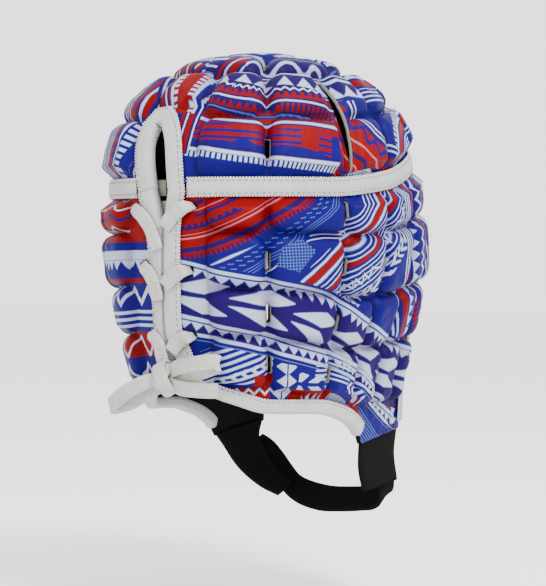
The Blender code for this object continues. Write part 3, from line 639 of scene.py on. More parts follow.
    def slot(self, pattern: Pattern, place: np.ndarray, long: float, wide: float) -> np.ndarray:
        """Loop of a rounded slot that stands near upright, sized on the real surface.

        Args:
            pattern: The flat pattern that it lies on.
            place: Its middle.
            long: Its length.
            wide: Its width.

        Returns:
            The loop's flat points.
        """
        _, _, across, along = pattern.frame_at(place)
        basis = np.stack([across, along], axis=1)
        metric = basis.T @ basis
        up = np.array([0.0, 1.0]) if pattern is SIDE else -place / np.linalg.norm(place)
        side = np.linalg.solve(metric, np.array([[0, -1], [1, 0]]) @ up)
        up = up / np.sqrt(up @ metric @ up)
        side = side / np.sqrt(side @ metric @ side)
        loop = []
        for end in (0, 1):
            for k in range(7):
                angle = math.pi * (k / 6 + end)
                x = math.cos(angle) * wide / 2
                y = math.sin(angle) * wide / 2 + (0.5 - end) * (long - wide)
                loop.append(place + side * x + up * y)
        return np.array(loop)

    def side_holes(self, vents: Rows, quilt: "Quilt") -> list[np.ndarray]:
        """Loops of the vents and the lace holes of the side shell, on both sides.

        Args:
            vents: Angle in degrees and row or climb of each vent.
            quilt: The quilting, for the heights of its rows.

        Returns:
            A loop for each hole.
        """
        loops = []
        for degrees, row in vents:
            for angle in (math.radians(degrees), FULL_TURN - math.radians(degrees)):
                share = (quilt.side_rows[row] + quilt.side_rows[row + 1]) / 2
                place = np.array([angle * SIDE.radius, float(quilt.row_height(angle, share))])
                loops.append(self.slot(SIDE, place, self.vent_long, self.vent_wide))
        for run in self.lace_runs:
            x = run.reach * self.lace_reach % (FULL_TURN * SIDE.radius)
            place = np.array([x, -run.drop * FORM.nape_drop])
            loops.append(self.slot(SIDE, place, self.eyelet + 1e-5, self.eyelet))
        return loops

    def long_vent(self, side: Side) -> np.ndarray:
        """Loop of the long vent on one side of the crown.

        Args:
            side: The side of the wearer.

        Returns:
            Flat points on the crown's disc.
        """
        low, high = (
            CROWN.at(side.value * angle, climb) for angle, climb in (self.vent_low, self.vent_high)
        )
        across = np.array([-(high - low)[1], (high - low)[0]]) / np.linalg.norm(high - low)
        shares = np.linspace(0, 1, 25)
        widths = self.side_vent_wide * np.sin(math.pi * (0.04 + 0.92 * shares))
        edge = low + (high - low) * shares[:, None]
        half = across * widths[:, None] / 2
        return np.concatenate([edge + half, (edge - half)[::-1]])

    def crown_holes(self, vents: Rows) -> list[np.ndarray]:
        """Loops of the two long side vents and the short vents of the crown.

        Args:
            vents: Angle in degrees and row or climb of each vent.

        Returns:
            A loop for each hole.
        """
        loops = []
        for side in Side:
            loops.append(self.long_vent(side))
            for degrees, climb in vents:
                place = CROWN.at(side.value * math.radians(degrees), climb)
                loops.append(self.slot(CROWN, place, self.vent_long, self.vent_wide))
        return loops


CUT = Outlines()


@dataclass(frozen=True)
class Quilt:
    """Channels of the quilting and the height of the foam blocks between them."""

    side_columns: Sequence[float] = (15.0, 35.5, 66.5, 90.0, 112.0, 129.0, 146.0, 163.0, 180.0)
    crown_columns: Sequence[float] = (12.0, 35.5, 66.5, 92.0, 117.0, 138.0, 159.0, 180.0)
    top_columns: Sequence[float] = (35.5, 92.0, 138.0)
    side_rows: Sequence[float] = (0.000, 0.203, 0.450, 0.665, 0.910)
    crown_rows: Sequence[float] = (0.000, 0.330, 0.600, 0.800)
    row_depth: Rows = (
        # degrees from the back, share of the nape drop
        (0, 1.000),
        (20, 1.010),
        (50, 1.060),
        (78, 1.130),
        (110, 1.150),
        (180, 1.150),
    )
    side_vents: Rows = (
        # channel in degrees from the back, row
        (35.5, 1),
        (35.5, 2),
        (35.5, 3),
        (66.5, 0),
        (66.5, 1),
        (66.5, 2),
        (66.5, 3),
        (90.0, 1),
        (90.0, 2),
        (112.0, 2),
        (112.0, 3),
        (129.0, 1),
        (129.0, 2),
    )
    crown_vents: Rows = (
        # channel in degrees from the back, climb
        (35.5, 0.18),
        (92.0, 0.18),
        (138.0, 0.18),
        (35.5, 0.70),
        (138.0, 0.70),
    )

    @staticmethod
    def both_sides(degrees: Sequence[float]) -> np.ndarray:
        """Channel angles of both sides, in radians from 0 to a full turn."""
        return np.radians(sorted({round(d, 4) for d in degrees} | {round(360 - d, 4) for d in degrees}))

    def row_height(self, angle: np.ndarray | float, share: float) -> np.ndarray:
        """Height of a row channel of the side shell.

        Args:
            angle: Angle from the back, in radians.
            share: Share of the way from the band down.

        Returns:
            The height.
        """
        top = FORM.band_height(angle)
        low = -FORM.nape_drop * smooth_table(from_back(angle), self.row_depth)
        return top + (low - top) * share

    @staticmethod
    def block(rows: np.ndarray, across: np.ndarray) -> np.ndarray:
        """Rise of a block with round corners from its channels.

        Args:
            rows: Distance to the nearest row channel.
            across: Distance to the nearest column channel.

        Returns:
            The rise, 0 in a channel and 1 on a block.
        """
        reach = CLOTH.shoulder
        from_row = np.clip(reach + CLOTH.floor - rows, 0, reach)
        from_column = np.clip(reach + CLOTH.floor - across, 0, reach)
        depth = np.clip(1 - np.hypot(from_row, from_column) / reach, 0, 1)
        return np.sqrt(1 - (1 - depth) ** 2)

    @staticmethod
    def past_band(rise: np.ndarray) -> np.ndarray:
        """0 under the seam band and 1 where the blocks stand full."""
        return np.clip((np.abs(rise) - CLOTH.band_width / 2 - CLOTH.band_clear) / CLOTH.fade, 0, 1)

    @staticmethod
    def past_tape(near: np.ndarray) -> np.ndarray:
        """0 under the edge tapes and 1 where the blocks stand full."""
        share = np.clip((near - CLOTH.tape_clear) / CLOTH.fade, 0, 1)
        return np.sqrt(share * (2 - share)) * CLOTH.fade_round + share * (1 - CLOTH.fade_round)

    def side_relief(self, flat: np.ndarray) -> tuple[np.ndarray, np.ndarray]:
        """Pad height and nearness of a channel over the side pattern.

        Args:
            flat: Flat places, one a row.

        Returns:
            Height in metres, and distance from a channel as a share of the shoulder.
        """
        angle = flat[:, 0] / SIDE.radius
        top = FORM.band_height(angle)
        low = -FORM.nape_drop * smooth_table(from_back(angle), self.row_depth)
        share = (top - flat[:, 1]) / (top - low)
        rows = np.abs(share[:, None] - self.side_rows).min(axis=1) * (top - low)
        columns = self.both_sides(self.side_columns)
        across = np.abs(angle[:, None] - columns).min(axis=1) * SIDE.radius * 0.9
        turn = (FULL_TURN * SIDE.radius, 0)
        edges = (
            (CUT.slit_edge(Side.RIGHT), CLOTH.tape_leg),
            (CUT.slit_edge(Side.LEFT) + turn, CLOTH.tape_leg),
            (CUT.rim_edge(), CLOTH.rim_leg),
            (SIDE.mirrored(CUT.rim_edge()), CLOTH.rim_leg),
            (CUT.face_edge(), CLOTH.rim_leg),
            (SIDE.mirrored(CUT.face_edge()), CLOTH.rim_leg),
        )
        near = np.min([distance_to(flat, edge) - leg for edge, leg in edges], axis=0)
        rise = self.block(rows, across) * self.past_band(flat[:, 1] - top) * self.past_tape(near)
        plain = (share > self.side_rows[-1]) | (from_back(angle) < self.side_columns[0])
        channel = np.where(plain, 1.0, np.minimum(rows, across) / CLOTH.shoulder)
        return CLOTH.pad * np.where(plain, 0, rise), channel

    def crown_relief(self, flat: np.ndarray) -> tuple[np.ndarray, np.ndarray]:
        """Pad height and nearness of a channel over the crown's disc.

        Args:
            flat: Flat places, one a row.

        Returns:
            Height in metres, and distance from a channel as a share of the shoulder.
        """
        angle = np.arctan2(flat[:, 0], flat[:, 1]) % FULL_TURN
        out = np.hypot(flat[:, 0], flat[:, 1])
        climb = 1 - out / CROWN.disc
        rows = np.abs(climb[:, None] - self.crown_rows).min(axis=1) * CROWN.disc
        across = np.abs(angle[:, None] - self.both_sides(self.crown_columns)).min(axis=1) * out
        top_across = np.abs(angle[:, None] - self.both_sides(self.top_columns)).min(axis=1) * out
        across = np.where(climb < self.crown_rows[2], across, top_across)
        across = np.where(climb < self.crown_rows[3], across, 1.0)
        up = FORM.height_of_climb(angle, climb) - FORM.band_height(angle)
        near = distance_to(flat, CUT.slit_arch()) - CLOTH.tape_leg
        rise = self.block(rows, across) * self.past_band(up) * self.past_tape(near)
        plain = from_back(angle) < self.crown_columns[0] * (climb < 0.4)
        channel = np.where(plain, 1.0, np.minimum(rows, across) / CLOTH.shoulder)
        return CLOTH.pad * np.where(plain, 0, rise), channel


QUILT = Quilt()


def linked(name: str, data: bpy.types.ID) -> bpy.types.Object:
    """A new object at the origin with this data, in the scene.

    Args:
        name: Its name.
        data: Its mesh, camera or lamp.

    Returns:
        The object.
    """
    obj = bpy.data.objects.new(name, data)
    bpy.context.scene.collection.objects.link(obj)
    return obj


class MeshDraft:
    """Points, faces and marks of a mesh before it becomes an object."""

    def __init__(self) -> None:
        """Starts empty."""
        self.points: list[np.ndarray] = []
        self.faces: list[np.ndarray] = []
        self.materials: list[np.ndarray] = []
        self.uvs: list[np.ndarray] = []
        self.count = 0

    def add(
        self, points: np.ndarray, faces: np.ndarray, material: int = 0, uv: np.ndarray | None = None
    ) -> None:
        """Adds a patch.

        Args:
            points: Points, one a row.
            faces: Corner numbers, one face a row, as quads or triangles.
            material: Index of the patch's material.
            uv: A flat place for each corner of each face.
        """
        self.points.append(np.asarray(points, float))
        self.join(np.asarray(faces, int) + self.count, material, uv)
        self.count += len(points)

    def join(self, faces: np.ndarray, material: int = 0, uv: np.ndarray | None = None) -> None:
        """Adds faces between points of the draft.

        Args:
            faces: Corner numbers in the whole draft, one face a row.
            material: Index of their material.
            uv: A flat place for each corner of each face.
        """
        self.faces.append(faces)
        self.materials.append(np.full(len(faces), material))
        if uv is None:
            uv = np.zeros((faces.size, 2))
        self.uvs.append(np.asarray(uv, float).reshape(-1, 2))

    def build(self, name: str, materials: Sequence[bpy.types.Material]) -> bpy.types.Object:
        """Makes the object.

        Args:
            name: The piece's name.
            materials: Its materials, in the order of their indices.

        Returns:
            The object, at the origin, shaded smooth.
        """
        mesh = bpy.data.meshes.new(name)
        points = np.concatenate(self.points)
        sizes = np.concatenate([np.full(len(faces), faces.shape[1]) for faces in self.faces])
        corners = np.concatenate([faces.ravel() for faces in self.faces])
        mesh.vertices.add(len(points))
        mesh.vertices.foreach_set("co", points.ravel())
        mesh.loops.add(len(corners))
        mesh.loops.foreach_set("vertex_index", corners)
        mesh.polygons.add(len(sizes))
        mesh.polygons.foreach_set("loop_start", np.concatenate([[0], np.cumsum(sizes)[:-1]]))
        mesh.polygons.foreach_set("material_index", np.concatenate(self.materials))
        mesh.update(calc_edges=True)
        layer = mesh.uv_layers.new(name="cloth")
        layer.data.foreach_set("uv", np.concatenate(self.uvs).ravel())
        mesh.shade_smooth()
        for material in materials:
            mesh.materials.append(material)
        return linked(name, mesh)


def face_outward(obj: bpy.types.Object) -> None:
    """Turns a closed mesh's faces round if they point in.

    Args:
        obj: The object.
    """
    mesh = obj.data
    mesh.calc_loop_triangles()
    points = np.empty(len(mesh.vertices) * 3)
    mesh.vertices.foreach_get("co", points)
    corners = np.empty(len(mesh.loop_triangles) * 3, int)
    mesh.loop_triangles.foreach_get("vertices", corners)
    triangles = points.reshape(-1, 3)[corners.reshape(-1, 3)]
    if np.einsum("ij,ij->i", triangles[:, 0], np.cross(triangles[:, 1], triangles[:, 2])).sum() < 0:
        mesh.flip_normals()


def dressed(obj: bpy.types.Object, slot: Slot, *nodes: str) -> bpy.types.Object:
    """Makes a finished piece ride on the part.

    Args:
        obj: The piece.
        slot: Not used.
        nodes: The CAD nodes that it stands for.

    Returns:
        The piece.
    """
    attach(obj, "root")
    if nodes:
        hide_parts(*nodes)
    LOG.info("%s: %d faces", obj.name, len(obj.data.polygons))
    return obj


class Sweep:
    """A closed solid through equal rings of points."""

    @staticmethod
    def build(name: str, rings: np.ndarray, material: bpy.types.Material) -> bpy.types.Object:
        """Joins the rings and closes both ends.

        Args:
            name: The piece's name.
            rings: Points by ring, place in the ring and coordinate.
            material: Its material.

        Returns:
            The object, with a UV map of lengths along and round the sweep.
        """
        draft = MeshDraft()
        Sweep.add_to(draft, rings)
        obj = draft.build(name, [material])
        face_outward(obj)
        return obj

    @staticmethod
    def add_to(draft: MeshDraft, rings: np.ndarray) -> None:
        """Adds a swept solid to a draft.

        Args:
            draft: The draft.
            rings: Points by ring, place in the ring and coordinate.
        """
        count, size = rings.shape[:2]
        middle = rings.mean(axis=1)
        along = lengths_along(middle)
        closed = np.concatenate([rings, rings[:, :1]], axis=1)
        steps = np.linalg.norm(np.diff(closed, axis=1), axis=2).mean(axis=0)
        round_it = np.concatenate([[0], np.cumsum(steps)])
        a, k = np.meshgrid(np.arange(count - 1), np.arange(size), indexing="ij")
        a, k = a.ravel(), k.ravel()
        n = (k + 1) % size
        faces = np.stack([a * size + k, a * size + n, (a + 1) * size + n, (a + 1) * size + k], axis=1)
        u = np.stack([along[a], along[a], along[a + 1], along[a + 1]], axis=1)
        v = np.stack([round_it[k], round_it[k + 1], round_it[k + 1], round_it[k]], axis=1)
        first = draft.count
        draft.add(rings.reshape(-1, 3), faces, 0, np.stack([u, v], axis=2))
        start = np.arange(size)
        for cap in (start[::-1], start + (count - 1) * size):
            draft.join(cap[None, :] + first)


def hexagon_places(low: np.ndarray, high: np.ndarray, step: float) -> np.ndarray:
    """Places of an even triangular net between two corners.

    Args:
        low: Least corner.
        high: Greatest corner.
        step: Distance between neighbours.

    Returns:
        Flat places.
    """
    rows = np.arange(low[1], high[1], step * math.sqrt(3) / 2)
    columns = np.arange(low[0], high[0], step)
    x, y = np.meshgrid(columns, rows)
    x = x + (np.arange(len(rows)) % 2)[:, None] * step / 2
    return np.stack([x.ravel(), y.ravel()], axis=1)


def triangulated(loops: Sequence[np.ndarray], places: np.ndarray) -> np.ndarray:
    """Triangles over the first loop less the others, through the loose places as well.

    Args:
        loops: The outline, then the holes.
        places: Loose flat places inside.

    Returns:
        Corner numbers in the loops' points followed by the loose places.
    """
    edges = []
    first = 0
    for loop in loops:
        count = len(loop)
        edges += [(first + i, first + (i + 1) % count) for i in range(count)]
        first += count
    flat = np.concatenate([*loops, places])
    result = delaunay_2d_cdt([Vector(p) for p in flat.tolist()], edges, [], 0, 1e-7)
    made = np.array([tuple(v) for v in result[0]])
    index = np.array([source[0] if source else -1 for source in result[3]])
    faces = np.array([tuple(face) for face in result[2]])
    middle = made[faces].mean(axis=1)
    keep = inside(middle, loops[0]) & (index[faces] >= 0).all(axis=1)
    for hole in loops[1:]:
        box = within_box(middle, hole, 0.0) & keep
        keep[box] &= ~inside(middle[box], hole)
    return index[faces[keep]]


@dataclass
class PaddedShell:
    """One quilted shell: printed cloth over foam blocks outside, a smooth lining inside."""

    name: str
    pattern: Pattern
    loops: list[np.ndarray]
    relief: Callable[[np.ndarray], tuple[np.ndarray, np.ndarray]]
    print_finish: bpy.types.Material
    foam_finish: bpy.types.Material
    lining_finish: bpy.types.Material
    guides: Callable[[np.ndarray], dict[str, np.ndarray]]
    step: float = 0.00140
    lining_step: float = 0.0050
    foam_seen: float = 0.0024
    long_cut: float = 0.030
    cut_reach: float = 0.0075
    cut_height: float = 0.0034

    def places(self, step: float, room: float) -> np.ndarray:
        """Loose places of an even net inside the outline and clear of every edge.

        Args:
            step: Distance between neighbours.
            room: Least distance from any edge.

        Returns:
            Flat places.
        """
        net = hexagon_places(self.loops[0].min(axis=0), self.loops[0].max(axis=0), step)
        net = net[inside(net, self.loops[0])]
        for loop in self.loops:
            near = within_box(net, loop, 3 * room)
            keep = np.ones(len(net), bool)
            keep[near] = distance_to(net[near], ring_of(loop)) > room
            if loop is not self.loops[0]:
                keep[near] &= ~inside(net[near], loop)
            net = net[keep]
        return net

    def build(self) -> bpy.types.Object:
        """Makes the shell as one closed mesh and dresses it.

        Returns:
            The piece.
        """
        rim = np.concatenate(self.loops)
        fine = self.places(self.step, self.step * 0.55)
        coarse = self.places(self.lining_step, self.lining_step * 0.45)
        outer_flat = np.concatenate([rim, fine])
        inner_flat = np.concatenate([rim, coarse])
        pad, channel = self.relief(outer_flat)
        pad = self.evened(outer_flat, pad)
        outer = self.pattern.lifted(outer_flat, CLOTH.wall + pad + self.softness(outer_flat, channel))
        inner = self.pattern.lifted(inner_flat, 0.0)
        outer_faces = triangulated(self.loops, fine)
        inner_faces = triangulated(self.loops, coarse)[:, ::-1] + len(outer)
        draft = MeshDraft()
        draft.add(np.concatenate([outer, inner]), outer_faces, 0, outer_flat[outer_faces])
        draft.join(inner_faces, 2, inner_flat[inner_faces - len(outer)])
        first = 0
        middle = len(outer) + len(inner)
        down = outer[: len(rim)] - inner[: len(rim)]
        size = np.linalg.norm(down, axis=1, keepdims=True)
        draft.points.append(outer[: len(rim)] - down * np.minimum(self.foam_seen / size, 0.6))
        for number, loop in enumerate(self.loops):
            i = np.arange(len(loop))
            a, b = first + i, first + (i + 1) % len(loop)
            for upper, lower, finish in ((0, middle, 1 if number else 2), (middle, len(outer), 2)):
                draft.join(np.stack([a + upper, a + lower, b + lower, b + upper], axis=1), finish)
            first += len(loop)
        obj = draft.build(self.name, [self.print_finish, self.foam_finish, self.lining_finish])
        # Nearness of a channel, which the print shader also reads to paint shade into the channels
        marks = obj.data.attributes.new("channel", "FLOAT", "POINT")
        values = np.concatenate([channel, np.ones(len(inner) + len(rim))])
        marks.data.foreach_set("value", values.astype(np.float32))
        face_outward(obj)
        self.mark_guides(obj, outer_flat, len(inner) + len(rim))
        return obj

    def evened(self, flat: np.ndarray, pad: np.ndarray) -> np.ndarray:
        """Pad heights, drawn to one even height beside the long cuts.

        Args:
            flat: Flat places, one a row.
            pad: Pad height of each place.

        Returns:
            The new heights.
        """
        pad = pad.copy()
        for loop in self.loops[1:]:
            if np.ptp(loop, axis=0).max() < self.long_cut:
                continue
            near = within_box(flat, loop, self.cut_reach)
            share = 1 - distance_to(flat[near], ring_of(loop)) / self.cut_reach
            from_rim = distance_to(flat[near], ring_of(self.loops[0]))
            share = np.clip(share, 0, 1) * np.clip(from_rim / self.cut_reach - 0.6, 0, 1)
            pad[near] += (self.cut_height - pad[near]) * share * share * (3 - 2 * share)
        return pad

    def softness(self, flat: np.ndarray, channel: np.ndarray) -> np.ndarray:
        """Small unevenness of the padded cloth, most beside the channels.

        Args:
            flat: Flat places, one a row.
            channel: Nearness of a channel at each place.

        Returns:
            Small heights.
        """
        x, y = flat[:, 0] * 1000, flat[:, 1] * 1000
        swell = np.sin(x * 0.41 + 1.7 * np.sin(y * 0.13)) * np.sin(y * 0.37 + 1.3 * np.sin(x * 0.11))
        pucker = np.sin(x * 1.15 + 2.2 * np.sin(y * 0.31)) * np.sin(y * 1.05 + 1.9 * np.sin(x * 0.27))
        beside = np.clip(channel, 0, 1) * np.clip(2.2 - channel, 0, 1)
        return CLOTH.swell * swell * np.clip(channel, 0, 1) + CLOTH.pucker * pucker * beside

    def mark_guides(self, obj: bpy.types.Object, flat: np.ndarray, lining: int) -> None:
        """Stores the print's guide coordinates on the outer points.

        Args:
            obj: The shell.
            flat: Flat places, one a row.
            lining: Number of points after the outer ones.
        """
        for name, rows in self.guides(flat).items():
            layer = obj.data.attributes.new(name, "FLOAT_VECTOR", "POINT")
            rows = np.concatenate([rows, np.zeros((lining, 3))])
            layer.data.foreach_set("vector", rows.astype(np.float32).ravel())


@dataclass
class EdgeTape:
    """A tape folded over an edge of the cloth."""

    pattern: Pattern
    edge: np.ndarray
    cloth_side: int
    leg: np.ndarray | float

    def profile(self) -> list[tuple[float, float, float]]:
        """Section of the tape, from the foot of its outer leg round the fold to the inner leg.

        Returns:
            Share of the leg, fixed reach past the edge and height over the inner face of each corner.
        """
        outside, behind = CLOTH.wall + CLOTH.tape_gap, -CLOTH.tape_gap
        top, low = outside + CLOTH.tape, behind - CLOTH.tape
        middle, half = (top + low) / 2, (top - low) / 2
        fold = CLOTH.gap + CLOTH.tape
        rows = [(1.0, 0.0, outside), (1.0, 0.0, outside + 0.55 * CLOTH.tape)]
        rows += [(0.93, 0.0, top - 0.1 * CLOTH.tape)]
        for share in (0.75, 0.5, 0.25):
            rows.append((share, 0.0, top + 0.25 * CLOTH.tape * math.sin(math.pi * share)))
        rows += [(0.06, 0.0, top)]
        for turn in (70, 45, 20, -5, -30, -55):
            x, y = math.cos(math.radians(turn)), math.sin(math.radians(turn))
            rows.append((0.0, -fold * x, middle + half * y))
        rows += [(0.0, 0.0, low), (CLOTH.inner_leg * 0.5, 0.0, low), (CLOTH.inner_leg, 0.0, low)]
        rows += [(CLOTH.inner_leg, 0.0, behind), (0.0, -CLOTH.gap, behind), (0.0, -CLOTH.gap, outside)]
        return rows

    def inward(self) -> tuple[np.ndarray, np.ndarray]:
        """Flat and space directions from the edge into the cloth, for one metre of real reach.

        Returns:
            Both directions at every point of the edge.
        """
        tangent = np.gradient(self.edge, axis=0)
        flat = np.stack([-tangent[:, 1], tangent[:, 0]], axis=1) * self.cloth_side
        _, _, across, along = self.pattern.frame_at(self.edge)
        reach = across * flat[:, :1] + along * flat[:, 1:]
        size = np.linalg.norm(reach, axis=1, keepdims=True)
        return flat / size, reach / size

    def legs(self) -> np.ndarray:
        """Leg at every point of the edge."""
        return np.broadcast_to(np.asarray(self.leg, float), len(self.edge))

    def rings(self) -> np.ndarray:
        """Sections of the tape along its edge.

        Returns:
            Points by ring, corner of the section and coordinate.
        """
        inward, reach = self.inward()
        points, normal, _, _ = self.pattern.frame_at(self.edge)
        leg = self.legs()
        rings = []
        for share, fixed, height in self.profile():
            if share > 0:
                base, up, _, _ = self.pattern.frame_at(self.edge + inward * (leg * share)[:, None])
                rings.append(base + up * height)
            else:
                rings.append(points + reach * fixed + normal * height)
        return np.stack(rings, axis=1)

    def row(self, share: float, lift: float = 0.0) -> np.ndarray:
        """A line on the tape's outer face, at a share of its leg.

        Args:
            share: Share of the leg.
            lift: Height over the tape.

        Returns:
            Points of the line.
        """
        inward, _ = self.inward()
        flat = self.edge + inward * (self.legs() * share)[:, None]
        return self.pattern.lifted(flat, CLOTH.wall + CLOTH.tape_gap + CLOTH.tape + lift)


@dataclass
class Ribbon:
    """A flat woven strip along a smooth path."""

    path: np.ndarray
    sides: np.ndarray
    width: np.ndarray
    thick: float
    square: bool = True
    bulge: float = 0.12

    def rings(self) -> np.ndarray:
        """Sections of the strip along its path.

        Returns:
            Points by ring, corner of the section and coordinate.
        """
        tangent = unit(np.gradient(self.path, axis=0))
        sides = self.sides
        if self.square:
            sides = sides - tangent * (sides * tangent).sum(axis=1, keepdims=True)
        sides = unit(sides)
        normal = unit(np.cross(tangent, sides))
        wide = np.broadcast_to(np.asarray(self.width, float), len(self.path))[:, None] / 2
        half = self.thick / 2
        face = ((-0.93, 0.95), (-0.6, 1), (0, 1 - self.bulge), (0.6, 1), (0.93, 0.95))
        shape = [(-1, -0.4), *((x, -y) for x, y in face), (1, -0.4), (1, 0.4), *face[::-1], (-1, 0.4)]
        return np.stack([self.path + sides * wide * x + normal * half * y for x, y in shape], axis=1)

    @classmethod
    def through(
        cls, path: np.ndarray, sides: np.ndarray, width: np.ndarray, thick: float, parts: int = 6,
        square: bool = True,
    ) -> "Ribbon":
        """A strip on the smooth curve through a few points.

        Args:
            path: Points of its middle line.
            sides: Direction of its width at each.
            width: Its width at each.
            thick: Its thickness.
            parts: Pieces between two points.
            square: Whether the width is turned square to the path.

        Returns:
            The strip.
        """
        rows = np.hstack([path, unit(np.asarray(sides, float)), np.asarray(width, float)[:, None]])
        rows = smooth_path(rows, parts)
        return cls(rows[:, :3], rows[:, 3:6], rows[:, 6], thick, square)


@dataclass
class LaceWork:
    """The lace: its runs over the slit and the bow that ties it."""

    lace_wide: float = 0.0090
    lace_thick: float = 0.0016
    bow_reach: float = 0.0400
    bow_drop: float = 0.0200
    bow_stand: float = 0.0100
    knot_tall: float = 0.0190
    knot_drop: float = 0.865
    knot_stand: float = 0.155
    knot_turns: Rows = (
        # lean, half height, half depth, shift to the left
        (0.45, 0.50, 0.31, 0.0),
        (-0.30, 0.40, 0.27, 0.001),
    )
    run_bend: float = 0.13
    left_loop: Rows = (
        # toward the left, away from the cloth, up, width
        (0.05, 0.06, 0.02, 0.75),
        (0.28, 0.55, -0.12, 0.95),
        (0.55, 0.75, -0.38, 1.00),
        (0.80, 0.60, -0.66, 1.00),
        (0.98, 0.25, -0.84, 1.00),
        (1.04, -0.10, -0.90, 1.00),
        (0.96, -0.32, -0.88, 1.00),
        (0.72, -0.25, -0.76, 1.00),
        (0.42, -0.05, -0.52, 0.90),
        (0.07, -0.10, -0.20, 0.75),
    )
    right_loop: Rows = (
        # toward the right, away from the cloth, up, width
        (0.05, 0.06, 0.14, 0.75),
        (0.30, 0.55, 0.34, 0.95),
        (0.55, 0.70, 0.42, 1.00),
        (0.76, 0.55, 0.50, 1.00),
        (0.88, 0.20, 0.52, 1.00),
        (0.90, -0.10, 0.46, 1.00),
        (0.80, -0.20, 0.36, 1.00),
        (0.56, 0.05, 0.18, 1.00),
        (0.34, 0.05, 0.10, 0.90),
        (0.07, -0.10, 0.04, 0.75),
    )
    right_tail: Rows = (
        # toward the right, away from the cloth, up, width
        (0.05, 0.10, -0.12, 0.80),
        (0.30, 0.32, -0.26, 1.00),
        (0.52, 0.20, -0.30, 1.00),
        (0.70, -0.10, -0.32, 1.00),
        (0.84, -0.42, -0.32, 1.00),
    )

    def run(self, number: int, material: bpy.types.Material) -> bpy.types.Object:
        """One run of the lace over the slit.

        Args:
            number: Number of the run in the table of runs.
            material: The material of what is made.

        Returns:
            The piece.
        """
        row = CUT.lace_runs[number]
        start = np.array([row.reach * CUT.lace_reach, -row.drop * FORM.nape_drop])
        end = np.array([row.end_reach * CUT.lace_reach, -row.end_drop * FORM.nape_drop])
        rest = CLOTH.wall + CLOTH.tape + CLOTH.tape_gap + 2 * CLOTH.gap + self.lace_thick / 2
        marks = np.array([
            # share of the run, height, share of the width
            (0.00, 0.0012, 0.50),
            (0.02, rest * 0.80, 0.62),
            (0.14, rest + 0.0008, 0.86),
            (0.30, rest + 0.0004, 1.00),
            (0.55, rest, 1.00),
            (0.80, rest, 1.00),
            (1.00, rest, 0.92),
        ])
        bend = np.array([-(end - start)[1], (end - start)[0]]) * math.copysign(self.run_bend, start[0])
        flat = start + (end - start) * marks[:, :1] - bend * np.sin(math.pi * marks[:, :1] ** 0.8)
        path = SIDE.lifted(flat, marks[:, 1])
        _, normal, across, along = SIDE.frame_at(flat)
        way = (end - start) / np.linalg.norm(end - start)
        side = np.cross(normal, across * way[0] + along * way[1])
        strip = Ribbon.through(path, side, self.lace_wide * marks[:, 2], self.lace_thick)
        index = sum(1 for other in CUT.lace_runs[: number + 1] if other.side is row.side)
        name = f"{row.side.name.lower()}_{index}"
        obj = Sweep.build("lace_run_" + name, strip.rings(), material)
        return dressed(obj, Slot.LACE, "lace_" + name)

    def knot_place(self) -> np.ndarray:
        """Middle of the knot, over the slit near the rim.

        Returns:
            Its place in space.
        """
        stand = CLOTH.wall + CLOTH.tape + CLOTH.tape_gap + CLOTH.gap
        stand += self.lace_thick + self.knot_tall * self.knot_stand
        return SIDE.lifted(np.array([[0.001, -self.knot_drop * FORM.nape_drop]]), stand)[0]

    def bow(self, material: bpy.types.Material) -> bpy.types.Object:
        """The bow: a wound knot, a loop on either side and one tail.

        Args:
            material: The material of what is made.

        Returns:
            The piece.
        """
        middle = self.knot_place()
        draft = MeshDraft()
        for table, side in ((self.left_loop, 1), (self.right_loop, -1), (self.right_tail, -1)):
            rows = np.array(table)
            path = middle + rows[:, :3] * (self.bow_reach * side, self.bow_stand, self.bow_drop)
            tilt = np.tile((0.10 * side, 0.20, 1.0), (len(path), 1))
            strip = Ribbon.through(path, tilt, self.lace_wide * rows[:, 3], self.lace_thick, 8)
            Sweep.add_to(draft, strip.rings())
        for lean, tall, deep, shift in self.knot_turns:
            turns = np.linspace(0.06, FULL_TURN - 0.06, 40)
            up = np.array([math.sin(lean), 0, math.cos(lean)])
            across = np.array([math.cos(lean), 0, -math.sin(lean)])
            ring = middle + np.outer(np.cos(turns) * tall * self.knot_tall, up)
            ring += np.outer(np.sin(turns) * deep * self.knot_tall, (0, 1, 0)) + (shift, 0, 0)
            sides = np.tile(across, (len(turns), 1))
            wide = np.full(len(turns), self.lace_wide * 1.05)
            Sweep.add_to(draft, Ribbon(ring, sides, wide, self.lace_thick * 1.15).rings())
        obj = draft.build("bow", [material])
        return dressed(obj, Slot.LACE, "lace_bow")


